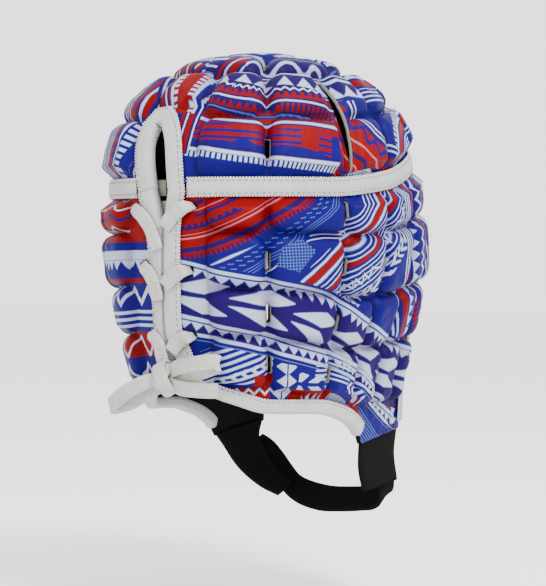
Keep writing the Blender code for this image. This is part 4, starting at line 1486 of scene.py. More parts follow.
@dataclass
class ChinStrap:
    """The two tabs that hang from the tongues and the strap between them."""

    wide: float = 0.0200
    thick: float = 0.0026
    tab_thick: float = 0.0036
    reach: float = 0.0560
    drop: float = 0.0400
    right_end: tuple[float, float, float] = (0.05, -0.12, -0.78)
    right_turn: tuple[float, float, float] = (0.0, -1.0, 0.12)
    right_sag: float = 0.003
    right_widths: tuple[float, float, float] = (0.98, 0.92, 0.76)
    tab_run: Rows = (
        # toward the left, forward, down, width, turn of the width inward and up
        (0.79, 0.68, 0.10, 1.60, 0.16, 0.16),
        (0.73, 0.73, 0.33, 1.30, 0.25, 0.25),
        (0.63, 0.79, 0.55, 1.00, 0.40, 0.50),
        (0.49, 0.84, 0.73, 0.85, 0.40, 0.60),
        (0.34, 0.91, 0.87, 0.70, 0.30, 0.60),
    )
    strap_run: Rows = (
        # toward the left, forward, down, width, turn of the width inward and up
        (0.84, 1.04, 0.14, 0.70, 0.40, 0.50),
        (0.71, 1.05, 0.25, 0.70, 0.45, 0.60),
        (0.60, 1.07, 0.42, 0.70, 0.50, 0.65),
        (0.48, 1.07, 0.62, 0.72, 0.50, 0.70),
        (0.36, 1.07, 0.80, 0.80, 0.35, 0.80),
        (0.17, 1.07, 0.93, 0.95, 0.15, 0.90),
        (-0.10, 1.07, 1.00, 1.00, 0.05, 1.00),
        (-0.37, 1.07, 0.99, 1.00, 0.00, 1.00),
        (-0.63, 1.07, 0.96, 1.00, 0.00, 0.95),
        (-0.80, 1.07, 0.94, 0.95, 0.00, 0.80),
        (-0.895, 1.07, 0.86, 0.85, 0.00, 0.45),
        (-0.925, 1.05, 0.60, 0.75, 0.00, 0.05),
        (-0.945, 1.04, 0.42, 0.72, 0.00, 0.05),
    )

    def run(self, table: Rows) -> tuple[np.ndarray, np.ndarray, np.ndarray]:
        """Path, width directions and widths through the rows of a table.

        Args:
            table: Rows of places, widths and turns.

        Returns:
            Points, directions and widths.
        """
        rows = np.array(table)
        low = -CUT.rim_line[-1][1] * FORM.nape_drop
        x, y = rows[:, 0] * self.reach, -rows[:, 1] * self.reach
        path = np.stack([x, y, low - rows[:, 2] * self.drop], axis=1)
        turn = np.stack([-rows[:, 4], -np.ones(len(rows)), rows[:, 5]], axis=1)
        return path, turn, self.wide * rows[:, 3]

    @staticmethod
    def tip_corners(side: Side) -> tuple[np.ndarray, np.ndarray]:
        """Rear and front corner of a tongue's tip, in the middle of its wall.

        Args:
            side: The side of the wearer.

        Returns:
            The rear and the front corner.
        """
        flat = np.array([CUT.rim_edge()[-1], CUT.face_edge()[0]])
        if side is Side.LEFT:
            flat = SIDE.mirrored(flat)
        rear, front = SIDE.lifted(flat, CLOTH.wall / 2)
        return rear, front

    def strips(self) -> dict[str, Ribbon]:
        """The three strips by the CAD node that each stands for.

        Returns:
            The strips by node name.
        """
        rear, front = self.tip_corners(Side.LEFT)
        drop = np.array([0, 0, 4 * CLOTH.gap])
        path, turn, wide = self.run(self.tab_run)
        path = np.vstack([(rear + front) / 2 + drop, path])
        turn = np.vstack([front - rear, turn])
        wide = np.concatenate([[np.linalg.norm(front - rear) * 0.98], wide])
        left = Ribbon.through(path, turn, wide, self.tab_thick, 5, square=False)
        path, turn, wide = self.run(self.strap_run)
        strap = Ribbon.through(path, turn, wide, self.thick, 6)
        rear, front = self.tip_corners(Side.RIGHT)
        tip = (rear + front) / 2
        low = tip + np.array(self.right_end) * (self.reach, self.reach, self.drop)
        path = np.stack([tip + drop, (tip + low) / 2 + (0, self.right_sag, 0), low])
        turn = np.stack([front - rear, front - rear, np.array(self.right_turn)])
        wide = np.array(self.right_widths) * np.linalg.norm(front - rear)
        right = Ribbon.through(path, turn, wide, self.tab_thick, 8, square=False)
        return {"left_strap_tab": left, "chin_strap": strap, "right_strap_tab": right}

    def build(self, material: bpy.types.Material) -> list[bpy.types.Object]:
        """Makes the tabs and the strap.

        Args:
            material: The material of what is made.

        Returns:
            The three pieces.
        """
        pieces = []
        for node, strip in self.strips().items():
            obj = Sweep.build(node + "_webbing", strip.rings(), material)
            pieces.append(dressed(obj, Slot.WEBBING, node))
        return pieces


class Nodes:
    """Short calls for building a material's nodes."""

    def __init__(self, name: str) -> None:
        """Starts a material with one Principled shader.

        Args:
            name: Its name.
        """
        self.material = bpy.data.materials.new(name)
        self.material.use_nodes = True
        self.tree = self.material.node_tree
        self.shader = self.tree.nodes["Principled BSDF"]

    def new(self, kind: str, **values: object) -> bpy.types.Node:
        """A node with some of its fields set.

        Args:
            kind: The node's type.
            **values: Fields of the node by name.

        Returns:
            The node.
        """
        node = self.tree.nodes.new(kind)
        for key, value in values.items():
            setattr(node, key, value)
        return node

    def link(self, value: object, socket: bpy.types.NodeSocket) -> None:
        """Joins an output to a socket, or writes a plain value on it.

        Args:
            value: The output or the value.
            socket: The input that takes it.
        """
        if isinstance(value, bpy.types.NodeSocket):
            self.tree.links.new(value, socket)
        else:
            socket.default_value = value

    def math(self, operation: str, *values: object) -> bpy.types.NodeSocket:
        """The result of a Math node.

        Args:
            operation: The node's operation.
            *values: Its inputs, as sockets or numbers.

        Returns:
            The output.
        """
        node = self.new("ShaderNodeMath", operation=operation)
        for value, socket in zip(values, node.inputs):
            self.link(value, socket)
        return node.outputs[0]

    def least(self, first: object, second: object) -> bpy.types.NodeSocket:
        """The lesser of two values."""
        return self.math("MINIMUM", first, second)

    def times(self, value: object, factor: object) -> bpy.types.NodeSocket:
        """A product."""
        return self.math("MULTIPLY", value, factor)

    def scaled(self, value: object, factor: object, more: object) -> bpy.types.NodeSocket:
        """A product and a sum, as one node."""
        return self.math("MULTIPLY_ADD", value, factor, more)

    def less(self, value: object, part: object) -> bpy.types.NodeSocket:
        """A difference."""
        return self.math("SUBTRACT", value, part)

    def size(self, value: object) -> bpy.types.NodeSocket:
        """A value without its sign."""
        return self.math("ABSOLUTE", value)

    def mix(self, share: object, first: object, second: object) -> bpy.types.NodeSocket:
        """A blend of two colours.

        Args:
            share: Share of the second.
            first: First colour.
            second: Second colour.

        Returns:
            The output.
        """
        node = self.new("ShaderNodeMix", data_type="RGBA")
        self.link(share, node.inputs[0])
        self.link(first, node.inputs[6])
        self.link(second, node.inputs[7])
        return node.outputs[2]

    def attribute(self, name: str) -> bpy.types.Node:
        """The node that reads a named attribute of the mesh."""
        return self.new("ShaderNodeAttribute", attribute_type="GEOMETRY", attribute_name=name)

    def noise(self, scale: float, detail: float = 2.0) -> bpy.types.NodeSocket:
        """A noise over the object's own places.

        Args:
            scale: Grains in a metre.
            detail: Finer layers.

        Returns:
            The output.
        """
        node = self.new("ShaderNodeTexNoise")
        node.inputs["Scale"].default_value = scale
        node.inputs["Detail"].default_value = detail
        self.link(self.new("ShaderNodeTexCoord").outputs["Object"], node.inputs["Vector"])
        return node.outputs[0]

    def cloth_place(self) -> tuple[bpy.types.NodeSocket, bpy.types.NodeSocket]:
        """Place along and across the cloth, from its UV map.

        Returns:
            Both outputs, in metres.
        """
        uv = self.new("ShaderNodeUVMap", uv_map="cloth")
        split = self.new("ShaderNodeSeparateXYZ")
        self.link(uv.outputs[0], split.inputs[0])
        return split.outputs[0], split.outputs[1]

    def tone(self, share: object, shade: Color, color: Color) -> None:
        """Blends two colours on the shader."""
        mixed = self.mix(share, (*shade, 1), (*color, 1))
        self.link(mixed, self.shader.inputs["Base Color"])

    def bump(self, height: object, strength: float, distance: float) -> None:
        """Puts a bump on the shader, after any bump that is there.

        Args:
            height: The height.
            strength: Share of it that shows.
            distance: Height in metres.
        """
        node = self.new("ShaderNodeBump")
        node.inputs["Strength"].default_value = strength
        node.inputs["Distance"].default_value = distance
        self.link(height, node.inputs["Height"])
        normal = self.shader.inputs["Normal"]
        if normal.links:
            self.link(normal.links[0].from_socket, node.inputs["Normal"])
        self.link(node.outputs[0], normal)

    def surface(self, roughness: float, sheen: float = 0.0, specular: float = 0.3) -> None:
        """Sets the shader's plain values.

        Args:
            roughness: Roughness.
            sheen: Weight of the sheen.
            specular: Level of the gloss.
        """
        self.shader.inputs["Roughness"].default_value = roughness
        self.shader.inputs["Sheen Weight"].default_value = sheen
        self.shader.inputs["Specular IOR Level"].default_value = specular


@dataclass(frozen=True)
class WovenTape:
    """White twill tape."""

    name: str = "twill tape"
    color: Color = (0.50, 0.488, 0.478)
    shade: Color = (0.37, 0.362, 0.356)
    rib: float = 0.0015
    slant: float = 0.8
    cross_rib: float = 0.62
    weave_tint: float = 0.30
    weave_depth: float = 0.00030
    stain: float = 90.0
    fuzz: float = 700.0
    fuzz_depth: float = 0.0004
    roughness: float = 0.85
    gloss: float = 0.10

    def material(self) -> bpy.types.Material:
        """Builds the material.

        Returns:
            The material.
        """
        nodes = Nodes(self.name)
        along, across = nodes.cloth_place()
        lean = nodes.scaled(across, self.slant, along)
        twill = nodes.math("SINE", nodes.times(lean, FULL_TURN / self.rib))
        cross = nodes.math("SINE", nodes.times(across, FULL_TURN / (self.rib * self.cross_rib)))
        weave = nodes.scaled(cross, 0.5, twill)
        tint = nodes.scaled(weave, self.weave_tint, nodes.noise(self.stain, 3.0))
        nodes.tone(tint, self.shade, self.color)
        nodes.bump(weave, 0.8, self.weave_depth)
        nodes.bump(nodes.noise(self.fuzz), 0.4, self.fuzz_depth)
        nodes.surface(self.roughness, 0.0, self.gloss)
        return nodes.material


@dataclass(frozen=True)
class WovenLace:
    """Warm white flat lace in a herringbone weave."""

    name: str = "flat lace"
    color: Color = (0.56, 0.556, 0.53)
    shade: Color = (0.38, 0.376, 0.35)
    rib: float = 0.0017
    chevron: float = 0.0023
    weave_tint: float = 0.30
    weave_depth: float = 0.00036
    stain: float = 120.0
    fuzz: float = 900.0
    fuzz_depth: float = 0.0003
    roughness: float = 0.85
    gloss: float = 0.10

    def material(self) -> bpy.types.Material:
        """Builds the material.

        Returns:
            The material.
        """
        nodes = Nodes(self.name)
        along, across = nodes.cloth_place()
        fold = nodes.math("PINGPONG", across, self.chevron)
        lean = nodes.math("ADD", fold, along)
        twill = nodes.math("SINE", nodes.times(lean, FULL_TURN / self.rib))
        tint = nodes.scaled(twill, self.weave_tint, nodes.noise(self.stain))
        nodes.tone(tint, self.shade, self.color)
        nodes.bump(twill, 1.0, self.weave_depth)
        nodes.bump(nodes.noise(self.fuzz), 0.4, self.fuzz_depth)
        nodes.surface(self.roughness, 0.0, self.gloss)
        return nodes.material


@dataclass(frozen=True)
class PileWebbing:
    """Black hook-and-loop webbing with a short pile."""

    name: str = "pile webbing"
    color: Color = (0.0012, 0.0012, 0.0014)
    lint: Color = (0.0075, 0.0075, 0.0080)
    pile: float = 1400.0
    pile_depth: float = 0.0006
    wear: float = 260.0
    wear_depth: float = 0.0008
    roughness: float = 0.95
    gloss: float = 0.03

    def material(self) -> bpy.types.Material:
        """Builds the material.

        Returns:
            The material.
        """
        nodes = Nodes(self.name)
        pile = nodes.noise(self.pile, 4.0)
        nodes.tone(pile, self.color, self.lint)
        nodes.bump(pile, 0.9, self.pile_depth)
        nodes.bump(nodes.noise(self.wear), 0.4, self.wear_depth)
        nodes.surface(self.roughness, 0.0, self.gloss)
        return nodes.material


@dataclass(frozen=True)
class PlainKnit:
    """A plain knit, such as the lining, the foam at the cut vents and the inner seam tape."""

    name: str
    color: Color
    shade: Color
    grain: float = 1100.0
    grain_depth: float = 0.0003
    roughness: float = 0.9
    gloss: float = 0.05

    def material(self) -> bpy.types.Material:
        """Builds the material.

        Returns:
            The material.
        """
        nodes = Nodes(self.name)
        grain = nodes.noise(self.grain, 3.0)
        nodes.tone(grain, self.shade, self.color)
        nodes.bump(grain, 0.4, self.grain_depth)
        nodes.surface(self.roughness, 0.0, self.gloss)
        return nodes.material


class Ink(Enum):
    """Inks of the print, as linear colours."""

    BLUE = (0.0052, 0.0003, 0.084)
    INDIGO = (0.0080, 0.0001, 0.052)
    LIGHT = (0.037, 0.075, 0.220)
    WHITE = (0.290, 0.330, 0.380)
    RED = (0.128, 0.0001, 0.0009)
    PINK = (0.270, 0.070, 0.090)


class Motif(Enum):
    """Kinds of stroke that the print is drawn with."""

    BAND = 1
    TEETH = 2
    TRIANGLES = 3
    STEPS = 4
    ZIGZAG = 5
    WAVE = 6
    SPOTS = 7
    LEAVES = 8
    CHEVRONS = 9
    LINES = 10
    HATCH = 11


@dataclass(frozen=True)
class Guide:
    """A smooth line that strokes of the print follow, with the window that they show in."""

    name: str
    points: Rows
    window: Rows = ()
    left: bool = False


@dataclass(frozen=True)
class Stroke:
    """One stroke beside a guide, in millimetres of the pattern."""

    guide: str
    motif: Motif
    ink: Ink
    base: float
    tall: float
    rim: float = 0.0
    period: float = 4.0
    duty: float = 0.5
    start: float | None = None
    stop: float | None = None


def beside(guide: str, *rows: Sequence[object]) -> list[Stroke]:
    """Strokes beside one guide, from rows of their other fields in order."""
    return [Stroke(guide, *row) for row in rows]


@dataclass(frozen=True)
class Artwork:
    """The print of one pattern: its guides and its strokes in painting order."""

    pattern: Pattern
    guides: Sequence[Guide]
    strokes: Sequence[Stroke]
    polar: bool = False

    def placed(self, rows: Rows) -> np.ndarray:
        """Pattern places of rows of degrees from the back and height in mm, or climb on the crown.

        Args:
            rows: The rows.

        Returns:
            Flat places, one a row.
        """
        rows = np.array(rows, float)
        if self.polar:
            turn, out = np.radians(rows[:, 0]), CROWN.disc * (1 - rows[:, 1])
            return np.stack([out * np.sin(turn), out * np.cos(turn)], axis=1)
        return np.stack([np.radians(rows[:, 0]) * SIDE.radius, rows[:, 1] / 1000], axis=1)

    def seen_from(self, flat: np.ndarray, left: bool) -> np.ndarray:
        """Places in the frame of a guide: the right half and its mirror image, or the left as it is.

        Args:
            flat: Flat places, one a row.
            left: Whether the guide is on the left side only.

        Returns:
            Flat places, one a row.
        """
        if self.polar:
            return flat if left else np.stack([np.abs(flat[:, 0]), flat[:, 1]], axis=1)
        turn = FULL_TURN * SIDE.radius
        if left:
            x = np.where(flat[:, 0] > turn / 2, flat[:, 0] - turn, flat[:, 0])
            return np.stack([x, flat[:, 1]], axis=1)
        return np.stack([np.minimum(flat[:, 0], turn - flat[:, 0]), flat[:, 1]], axis=1)

    def coordinates(self, flat: np.ndarray) -> dict[str, np.ndarray]:
        """Way along and across every guide and depth in its window, in mm, by attribute name.

        Args:
            flat: Flat places, one a row.

        Returns:
            Three columns for each guide.
        """
        table = {}
        for guide in self.guides:
            seen = self.seen_from(flat, guide.left)
            line = smooth_path(self.placed(guide.points), 8)
            distance, along, side = nearest_on(seen, line)
            across = distance * side * (-1 if self.polar else 1)
            depth = np.full(len(flat), 1.0)
            if guide.window:
                loop = self.placed(guide.window)
                depth = distance_to(seen, ring_of(loop))
                depth = np.where(inside(seen, loop), depth, -depth)
            table["print_" + guide.name] = np.stack([along, across, depth], axis=1) * 1000
        return table


BLUE, INDIGO, LIGHT, WHITE, RED, PINK = Ink
BAND, TEETH, TRIANGLES, STEPS, ZIGZAG, WAVE, SPOTS, LEAVES, CHEVRONS, LINES, HATCH = Motif

SIDE_ART = Artwork(
    SIDE,
    (
        Guide("field",
              ((1, -40), (15, -37), (25, -31), (33, -24), (40, -17), (52, -6), (62, 5)),
              ((-2, 9), (57, 9), (55, -3), (52, -11), (42, -22), (34, -31), (24, -38), (13, -43),
               (-2, -46))),
        Guide("light",
              ((8, -48), (17, -43), (25, -37), (32, -30), (40, -21), (47, -12), (53, -5), (60, 6)),
              ((8, -52), (24, -38), (34, -31), (42, -22), (52, -11), (55, -3), (57, 9), (68, 9),
               (66, -28), (52, -28), (38, -44), (28, -52))),
        Guide("thin",
              ((30, -54), (36, -45), (45, -31), (54, -27), (66, -27)),
              ((28, -56), (52, -26), (70, -24), (64, -36), (50, -54))),
        Guide("hatch",
              ((38, -50), (50, -29)),
              ((40, -33), (47, -29), (52, -35), (46, -47), (38, -44))),
        Guide("curve",
              ((44, -62), (48, -54), (55, -45), (62, -35), (68, -30), (75, -24), (80, -15),
               (85, -5), (89, 6)),
              ((44, -56), (50, -44), (57, -34), (64, -28), (64, 9), (104, 9), (112, -84), (80, -70),
               (60, -58))),
        Guide("upper",
              ((1, -41), (10, -44), (20, -48), (35, -52), (50, -56), (60, -60), (70, -66),
               (80, -72), (95, -79), (115, -88), (150, -100))),
        Guide("spear",
              ((1, -58), (10, -61), (30, -66), (50, -75), (65, -84), (90, -97), (105, -103),
               (120, -109), (150, -120))),
        Guide("lower",
              ((1, -72), (15, -77), (30, -82), (45, -88), (60, -93), (75, -98), (90, -105),
               (100, -111), (112, -122), (135, -138))),
        Guide("second",
              ((1, -81), (10, -84), (25, -88), (35, -92), (50, -97), (65, -102), (80, -108),
               (95, -116), (110, -126), (130, -142))),
        Guide("slant",
              ((8, -110), (40, -90)),
              ((6, -112), (12, -92), (22, -90), (37, -96), (36, -112))),
        Guide("rim",
              ((1, -116), (20, -115), (40, -115), (55, -117), (70, -118), (90, -127), (104, -140),
               (120, -156))),
        Guide("bars",
              ((42, -96), (42, -128)),
              ((38, -98), (46, -100), (46, -126), (38, -126))),
        Guide("front",
              ((97, 10), (101, -30), (106, -62), (113, -92), (126, -150)),
              ((97, 10), (101, -30), (106, -64), (112, -84), (130, -160), (190, -160), (190, 10))),
        Guide("wall",
              ((-46, 0), (-20, 0), (4, 0)),
              ((-44, 9), (0.5, 9), (0.5, -130), (-38, -130)), True),
    ),
    (
        # motif, ink, base, height, rim, period, duty, start and stop, all in mm but the duty
        *beside("light",
                (BAND, BLUE, -40, 60), (SPOTS, LIGHT, -5.2, 1.5, 0, 4.4, 0.42),
                (SPOTS, LIGHT, -8.2, 1.5, 0, 4.4, 0.42), (LINES, LIGHT, -14.0, 4.2, 0, 1.4, 0.30),
                (BAND, WHITE, -1.4, 1.7, 0.4)),
        *beside("field",
                (BAND, INDIGO, -2.6, 60), (TEETH, RED, 0.0, -2.4, 0, 2.5, 0.50), (BAND, RED, 0.0, 1.3),
                (BAND, RED, 4.0, 50), (BAND, PINK, 8.6, 1.0), (BAND, PINK, 11.0, 0.4),
                (TRIANGLES, INDIGO, 15.2, 2.6, 0, 4.6, 0.5, 8, 50),
                (BAND, INDIGO, 13.9, 1.4, 0, 4, 0.5, 6, 52),
                (BAND, INDIGO, 20.5, 1.8, 0, 4, 0.5, 22, 74), (BAND, PINK, 24.0, 0.6, 0, 4, 0.5, 4, 60),
                (BAND, INDIGO, 27.0, 2.4, 0, 4, 0.5, 2, 34)),
        *beside("curve",
                (LINES, LIGHT, -33, 28, 0, 2.7, 0.42), (LINES, WHITE, -33, 28, 0, 2.7, 0.24),
                (BAND, RED, -13.4, 2.6), (ZIGZAG, WHITE, -25, 5.4, 0.3, 6.5, 0.30),
                (CHEVRONS, WHITE, -38, 9.0, 0.3, 5.0, 0.42), (LINES, WHITE, 4.6, 7.6, 0, 2.5, 0.30),
                (BAND, WHITE, -4.6, 1.5, 0.4), (BAND, WHITE, 2.0, 1.3, 0.4), (BAND, RED, -2.4, 3.6)),
        *beside("thin",
                (LINES, WHITE, -2.6, 6.0, 0, 1.9, 0.32)),
        *beside("hatch",
                (BAND, BLUE, -12, 24), (HATCH, LIGHT, -12, 24, 0, 2.4, 0.30)),
        *beside("front",
                (BAND, BLUE, -60, 220), (LINES, WHITE, 1.0, 8.0, 0.2, 2.6, 0.42), (BAND, RED, 11, 4.0),
                (TRIANGLES, WHITE, 17, 5.0, 0.3, 7.0), (ZIGZAG, WHITE, 24, 6.0, 0.3, 8.0, 0.34),
                (TEETH, RED, 32, 5.0, 0, 3.0, 0.55), (LINES, WHITE, 40, 8.0, 0, 2.6, 0.40),
                (LEAVES, WHITE, 50, 14.0, 0.4, 22.0, 0.62), (BAND, WHITE, 66, 1.6, 0.3),
                (BAND, RED, 70, 9.0), (WAVE, PINK, 71, 6.0, 0, 12.0, 0.22),
                (STEPS, WHITE, 82, 8.0, 0.3, 7.0, 0.5), (LINES, WHITE, 93, 12.0, 0, 3.0, 0.35),
                (BAND, RED, 107, 6.0), (TRIANGLES, WHITE, 116, 5.0, 0.3, 7.0)),
        *beside("spear",
                (BAND, INDIGO, -18, 33)),
        *beside("second",
                (BAND, BLUE, -60, 60)),
        *beside("lower",
                (BAND, INDIGO, -9, 9)),
        *beside("upper",
                (BAND, BLUE, 0.0, 3.0), (BAND, WHITE, -0.4, 1.7, 0.4),
                (TRIANGLES, WHITE, -1.6, -4.4, 0.4, 7.2)),
        *beside("spear",
                (LEAVES, WHITE, -11.0, 22.0, 0.5, 34.0, 0.52)),
        *beside("lower",
                (BAND, WHITE, -0.4, 2.0, 0.4), (TRIANGLES, WHITE, -1.5, -4.2, 0.4, 6.8)),
        *beside("second",
                (BAND, WHITE, -0.6, 1.7, 0.4), (BAND, LIGHT, -3.0, 0.6)),
        *beside("slant",
                (LINES, WHITE, -13, 26, 0.3, 3.6, 0.40), (CHEVRONS, WHITE, -8, 5.0, 0, 6.0, 0.36)),
        *beside("rim",
                (LINES, WHITE, 6.5, 12.0, 0.3, 3.0, 0.36, 86, 122),
                (LEAVES, WHITE, -3, 15.0, 0.3, 16.0, 0.62, 72, 104),
                (BAND, RED, -9, 9.0, 0, 4, 0.5, 22, 46), (BAND, RED, -9, 18.0, 0, 4, 0.5, 44, 56),
                (BAND, RED, -9, 9.0, 0, 4, 0.5, 70, 108), (BAND, RED, -2, 7.0, 0, 4, 0.5, 142, 168),
                (ZIGZAG, WHITE, -5, 5.0, 0.3, 7.0, 0.32, 18, 60),
                (TRIANGLES, WHITE, -8, 6.0, 0.3, 6.0, 0.5, 82, 100),
                (TEETH, WHITE, -6, 4.5, 0, 2.6, 0.5, 108, 142),
                (CHEVRONS, WHITE, 2, 8.0, 0.3, 6.0, 0.42, 122, 150),
                (LINES, LIGHT, -9, 18.0, 0, 2.2, 0.36, 160)),
        *beside("bars",
                (TRIANGLES, WHITE, 0.6, 6.0, 0.3, 9.0), (TRIANGLES, WHITE, -0.6, -6.0, 0.3, 9.0)),
        *beside("wall",
                (BAND, BLUE, -140, 160), (BAND, RED, -31, 42, 0, 4, 0.5, None, 56),
                (WAVE, LIGHT, -8.0, 4.0, 0, 16.0, 0.26), (WAVE, WHITE, -13.0, 4.0, 0, 16.0, 0.26),
                (WAVE, BLUE, -19.0, 5.0, 0, 16.0, 0.34), (WAVE, WHITE, -25.5, 4.0, 0, 16.0, 0.28),
                (BAND, RED, -31, 12, 0, 4, 0.5, 46, 66), (BAND, WHITE, -42, 6.0, 0.4),
                (TRIANGLES, WHITE, -41.5, -5.0, 0.4, 5.6), (BAND, RED, -54.5, 2.6),
                (ZIGZAG, WHITE, -68, 12.0, 0.4, 12.0, 0.30), (LINES, WHITE, -81, 11.5, 0.3, 3.9, 0.42),
                (BAND, RED, -97, 14.0, 0, 4, 0.5, 36, 72),
                (WAVE, WHITE, -97, 12.0, 0.3, 15.0, 0.20, 30),
                (ZIGZAG, WHITE, -112, 12.0, 0.3, 13.0, 0.26), (LINES, WHITE, -124, 10.0, 0, 4.0, 0.36)),
    ),
)

CROWN_ART = Artwork(
    CROWN,
    (
        Guide("bar",
              ((1, 0.19), (20, 0.155), (35, 0.130), (50, 0.110), (66, 0.090), (80, 0.065))),
        Guide("tapers",
              ((2, 0.24), (20, 0.23), (40, 0.21), (60, 0.18)),
              ((7, 0.20), (30, 0.18), (58, 0.13), (59, 0.22), (44, 0.26), (30, 0.275), (8, 0.29))),
        Guide("middle",
              ((4, 0.36), (10, 0.34), (20, 0.30), (35, 0.285), (60, 0.265), (75, 0.25)),
              ((4, 0.30), (30, 0.24), (64, 0.20), (68, 0.40), (30, 0.47), (4, 0.50))),
        Guide("top",
              ((2, 0.50), (12, 0.47), (25, 0.455), (40, 0.450), (60, 0.430), (80, 0.40), (95, 0.38)),
              ((1, 0.46), (20, 0.435), (60, 0.40), (96, 0.36), (110, 0.60), (60, 0.72), (1, 0.72))),
        Guide("apex",
              ((0, 0.76), (30, 0.74), (60, 0.72), (90, 0.70), (120, 0.72), (150, 0.74), (180, 0.76))),
        Guide("front_field",
              ((58, 0.44), (66, 0.28), (74, 0.16), (82, 0.08), (92, 0.00)),
              ((61, 0.03), (64, 0.30), (68, 0.40), (84, 0.38), (98, 0.30), (96, 0.03))),
        Guide("front_lines",
              ((88, 0.44), (100, 0.40), (120, 0.38), (150, 0.38), (180, 0.38)),
              ((88, 0.30), (100, 0.28), (182, 0.26), (182, 0.62), (96, 0.60))),
        Guide("brow",
              ((94, 0.02), (98, 0.14), (104, 0.24), (120, 0.28), (150, 0.26), (180, 0.25)),
              ((96, -0.08), (98, 0.30), (140, 0.32), (182, 0.31), (182, -0.08))),
        Guide("slit",
              ((2, 0.30), (4, 0.64)),
              ((-4, 0.36), (10, 0.36), (14, 0.55), (-6, 0.55)), True),
        Guide("beside",
              ((7, 0.16), (7.5, 0.30), (8.5, 0.42), (13, 0.56), (24, 0.68)),
              ((3, 0.16), (9, 0.16), (13, 0.42), (22, 0.56), (26, 0.72), (4, 0.66))),
        Guide("left",
              ((-24, -0.06), (-21, 0.30), (-17, 0.55), (-8, 0.70)),
              ((-46, -0.08), (-3, -0.08), (-3, 0.36), (-6, 0.52), (0, 0.64), (-46, 0.64)), True),
    ),
    (
        # motif, ink, base, height, rim, period, duty, start and stop, all in mm but the duty
        *beside("apex",
                (BAND, BLUE, -60, 200), (LINES, WHITE, -22, 12, 0.3, 3.4, 0.36),
                (TRIANGLES, WHITE, -8, 7.0, 0.3, 10.0), (BAND, WHITE, 0.6, 1.8, 0.3),
                (LEAVES, WHITE, 4, 13, 0.4, 22.0, 0.62), (BAND, WHITE, 18.4, 2.0, 0.3),
                (ZIGZAG, WHITE, 22, 6.0, 0, 12.0, 0.34)),
        *beside("top",
                (BAND, INDIGO, -3, 60), (BAND, WHITE, -1.8, 1.4, 0.3),
                (TRIANGLES, WHITE, 1.4, 7.4, 0.4, 10.0), (BAND, WHITE, 11, 1.8, 0.4),
                (BAND, WHITE, 15, 0.9, 0.2), (WAVE, WHITE, 18, 8.0, 0.4, 22.0, 0.34),
                (BAND, LIGHT, 28, 1.0)),
        *beside("bar",
                (BAND, INDIGO, 1.4, 1.6), (TEETH, WHITE, -0.2, -3.4, 0.2, 2.8, 0.52),
                (BAND, WHITE, -0.4, 1.7, 0.4)),
        *beside("tapers",
                (LINES, RED, -8, 15, 0, 3.3, 0.56), (TRIANGLES, BLUE, -7, 6.0, 0, 26.0, 0.5, 0, 60),
                (BAND, RED, -7, 14, 0, 4, 0.5, 70, 80)),
        *beside("middle",
                (BAND, INDIGO, -8, 40), (BAND, RED, -4.8, 3.2), (BAND, WHITE, -0.6, 1.5, 0.4),
                (BAND, RED, 1.9, 3.0), (BAND, LIGHT, 5.8, 0.6),
                (TRIANGLES, RED, 7.0, 3.2, 0, 4.4, 0.5, None, 52),
                (TEETH, RED, 7.0, 3.6, 0, 3.0, 0.5, 52), (BAND, WHITE, 11.4, 0.9, 0.2),
                (STEPS, RED, 13.4, 3.4, 0, 4.4, 0.5), (ZIGZAG, WHITE, 17.4, 3.0, 0, 5.0, 0.40)),
        *beside("front_field",
                (BAND, RED, -60, 120), (BAND, PINK, 1.0, 1.2), (BAND, PINK, -10.5, 1.0),
                (BAND, INDIGO, -6.0, 2.4), (WAVE, BLUE, 5.0, 7.0, 0, 15.0, 0.42),
                (BAND, BLUE, 12.0, 30.0), (LINES, WHITE, 14.0, 6.0, 0, 2.8, 0.40),
                (WAVE, BLUE, -20.0, 6.0, 0, 12.0, 0.40), (LINES, WHITE, -32.0, 10.0, 0, 3.0, 0.40)),
        *beside("brow",
                (BAND, BLUE, -60, 120), (TEETH, WHITE, 1.0, 3.6, 0.2, 3.0, 0.5),
                (BAND, WHITE, -1.0, 1.8, 0.3), (BAND, RED, -7.0, 4.6),
                (LINES, WHITE, -16, 7.0, 0, 2.4, 0.40), (TRIANGLES, WHITE, -25, 6.0, 0.3, 8.0),
                (BAND, RED, -31, 4.0)),
        *beside("front_lines",
                (BAND, BLUE, -40, 80), (LINES, WHITE, -3, 9.0, 0.2, 2.6, 0.34), (BAND, RED, 8, 4.0),
                (TRIANGLES, WHITE, 14, 5.0, 0.3, 8.0)),
        *beside("left",
                (BAND, BLUE, -60, 120), (LINES, WHITE, 3.5, 26.0, 0.25, 3.6, 0.30),
                (LINES, RED, 3.5, 26.0, 0, 7.2, 0.36, 44),
                (TRIANGLES, RED, 2.4, -4.2, 0, 5.0, 0.5, None, 50),
                (BAND, RED, 2.0, 1.8, 0, 4, 0.5, None, 54),
                (TEETH, WHITE, -6.0, -4.6, 0.2, 3.4, 0.5, None, 46), (BAND, WHITE, -4.6, 1.2, 0.2),
                (LINES, RED, -22, 22, 0, 4.6, 0.5, 48),
                (LINES, WHITE, -26, 10, 0, 3.0, 0.36, None, 48)),
        *beside("beside",
                (BAND, INDIGO, -5, 12), (BAND, RED, -1.4, 2.6), (BAND, WHITE, 2.0, 0.9, 0.2),
                (BAND, RED, 4.0, 1.3), (BAND, WHITE, -3.6, 0.8, 0.2)),
        *beside("slit",
                (BAND, BLUE, -9, 18), (BAND, RED, -6, 12), (TEETH, WHITE, -6.4, 2.8, 0.2, 2.6, 0.5),
                (BAND, WHITE, -7.4, 1.3, 0.2), (TEETH, WHITE, 6.4, -2.8, 0.2, 2.6, 0.5),
                (BAND, WHITE, 6.1, 1.3, 0.2)),
    ),
    polar=True,
)


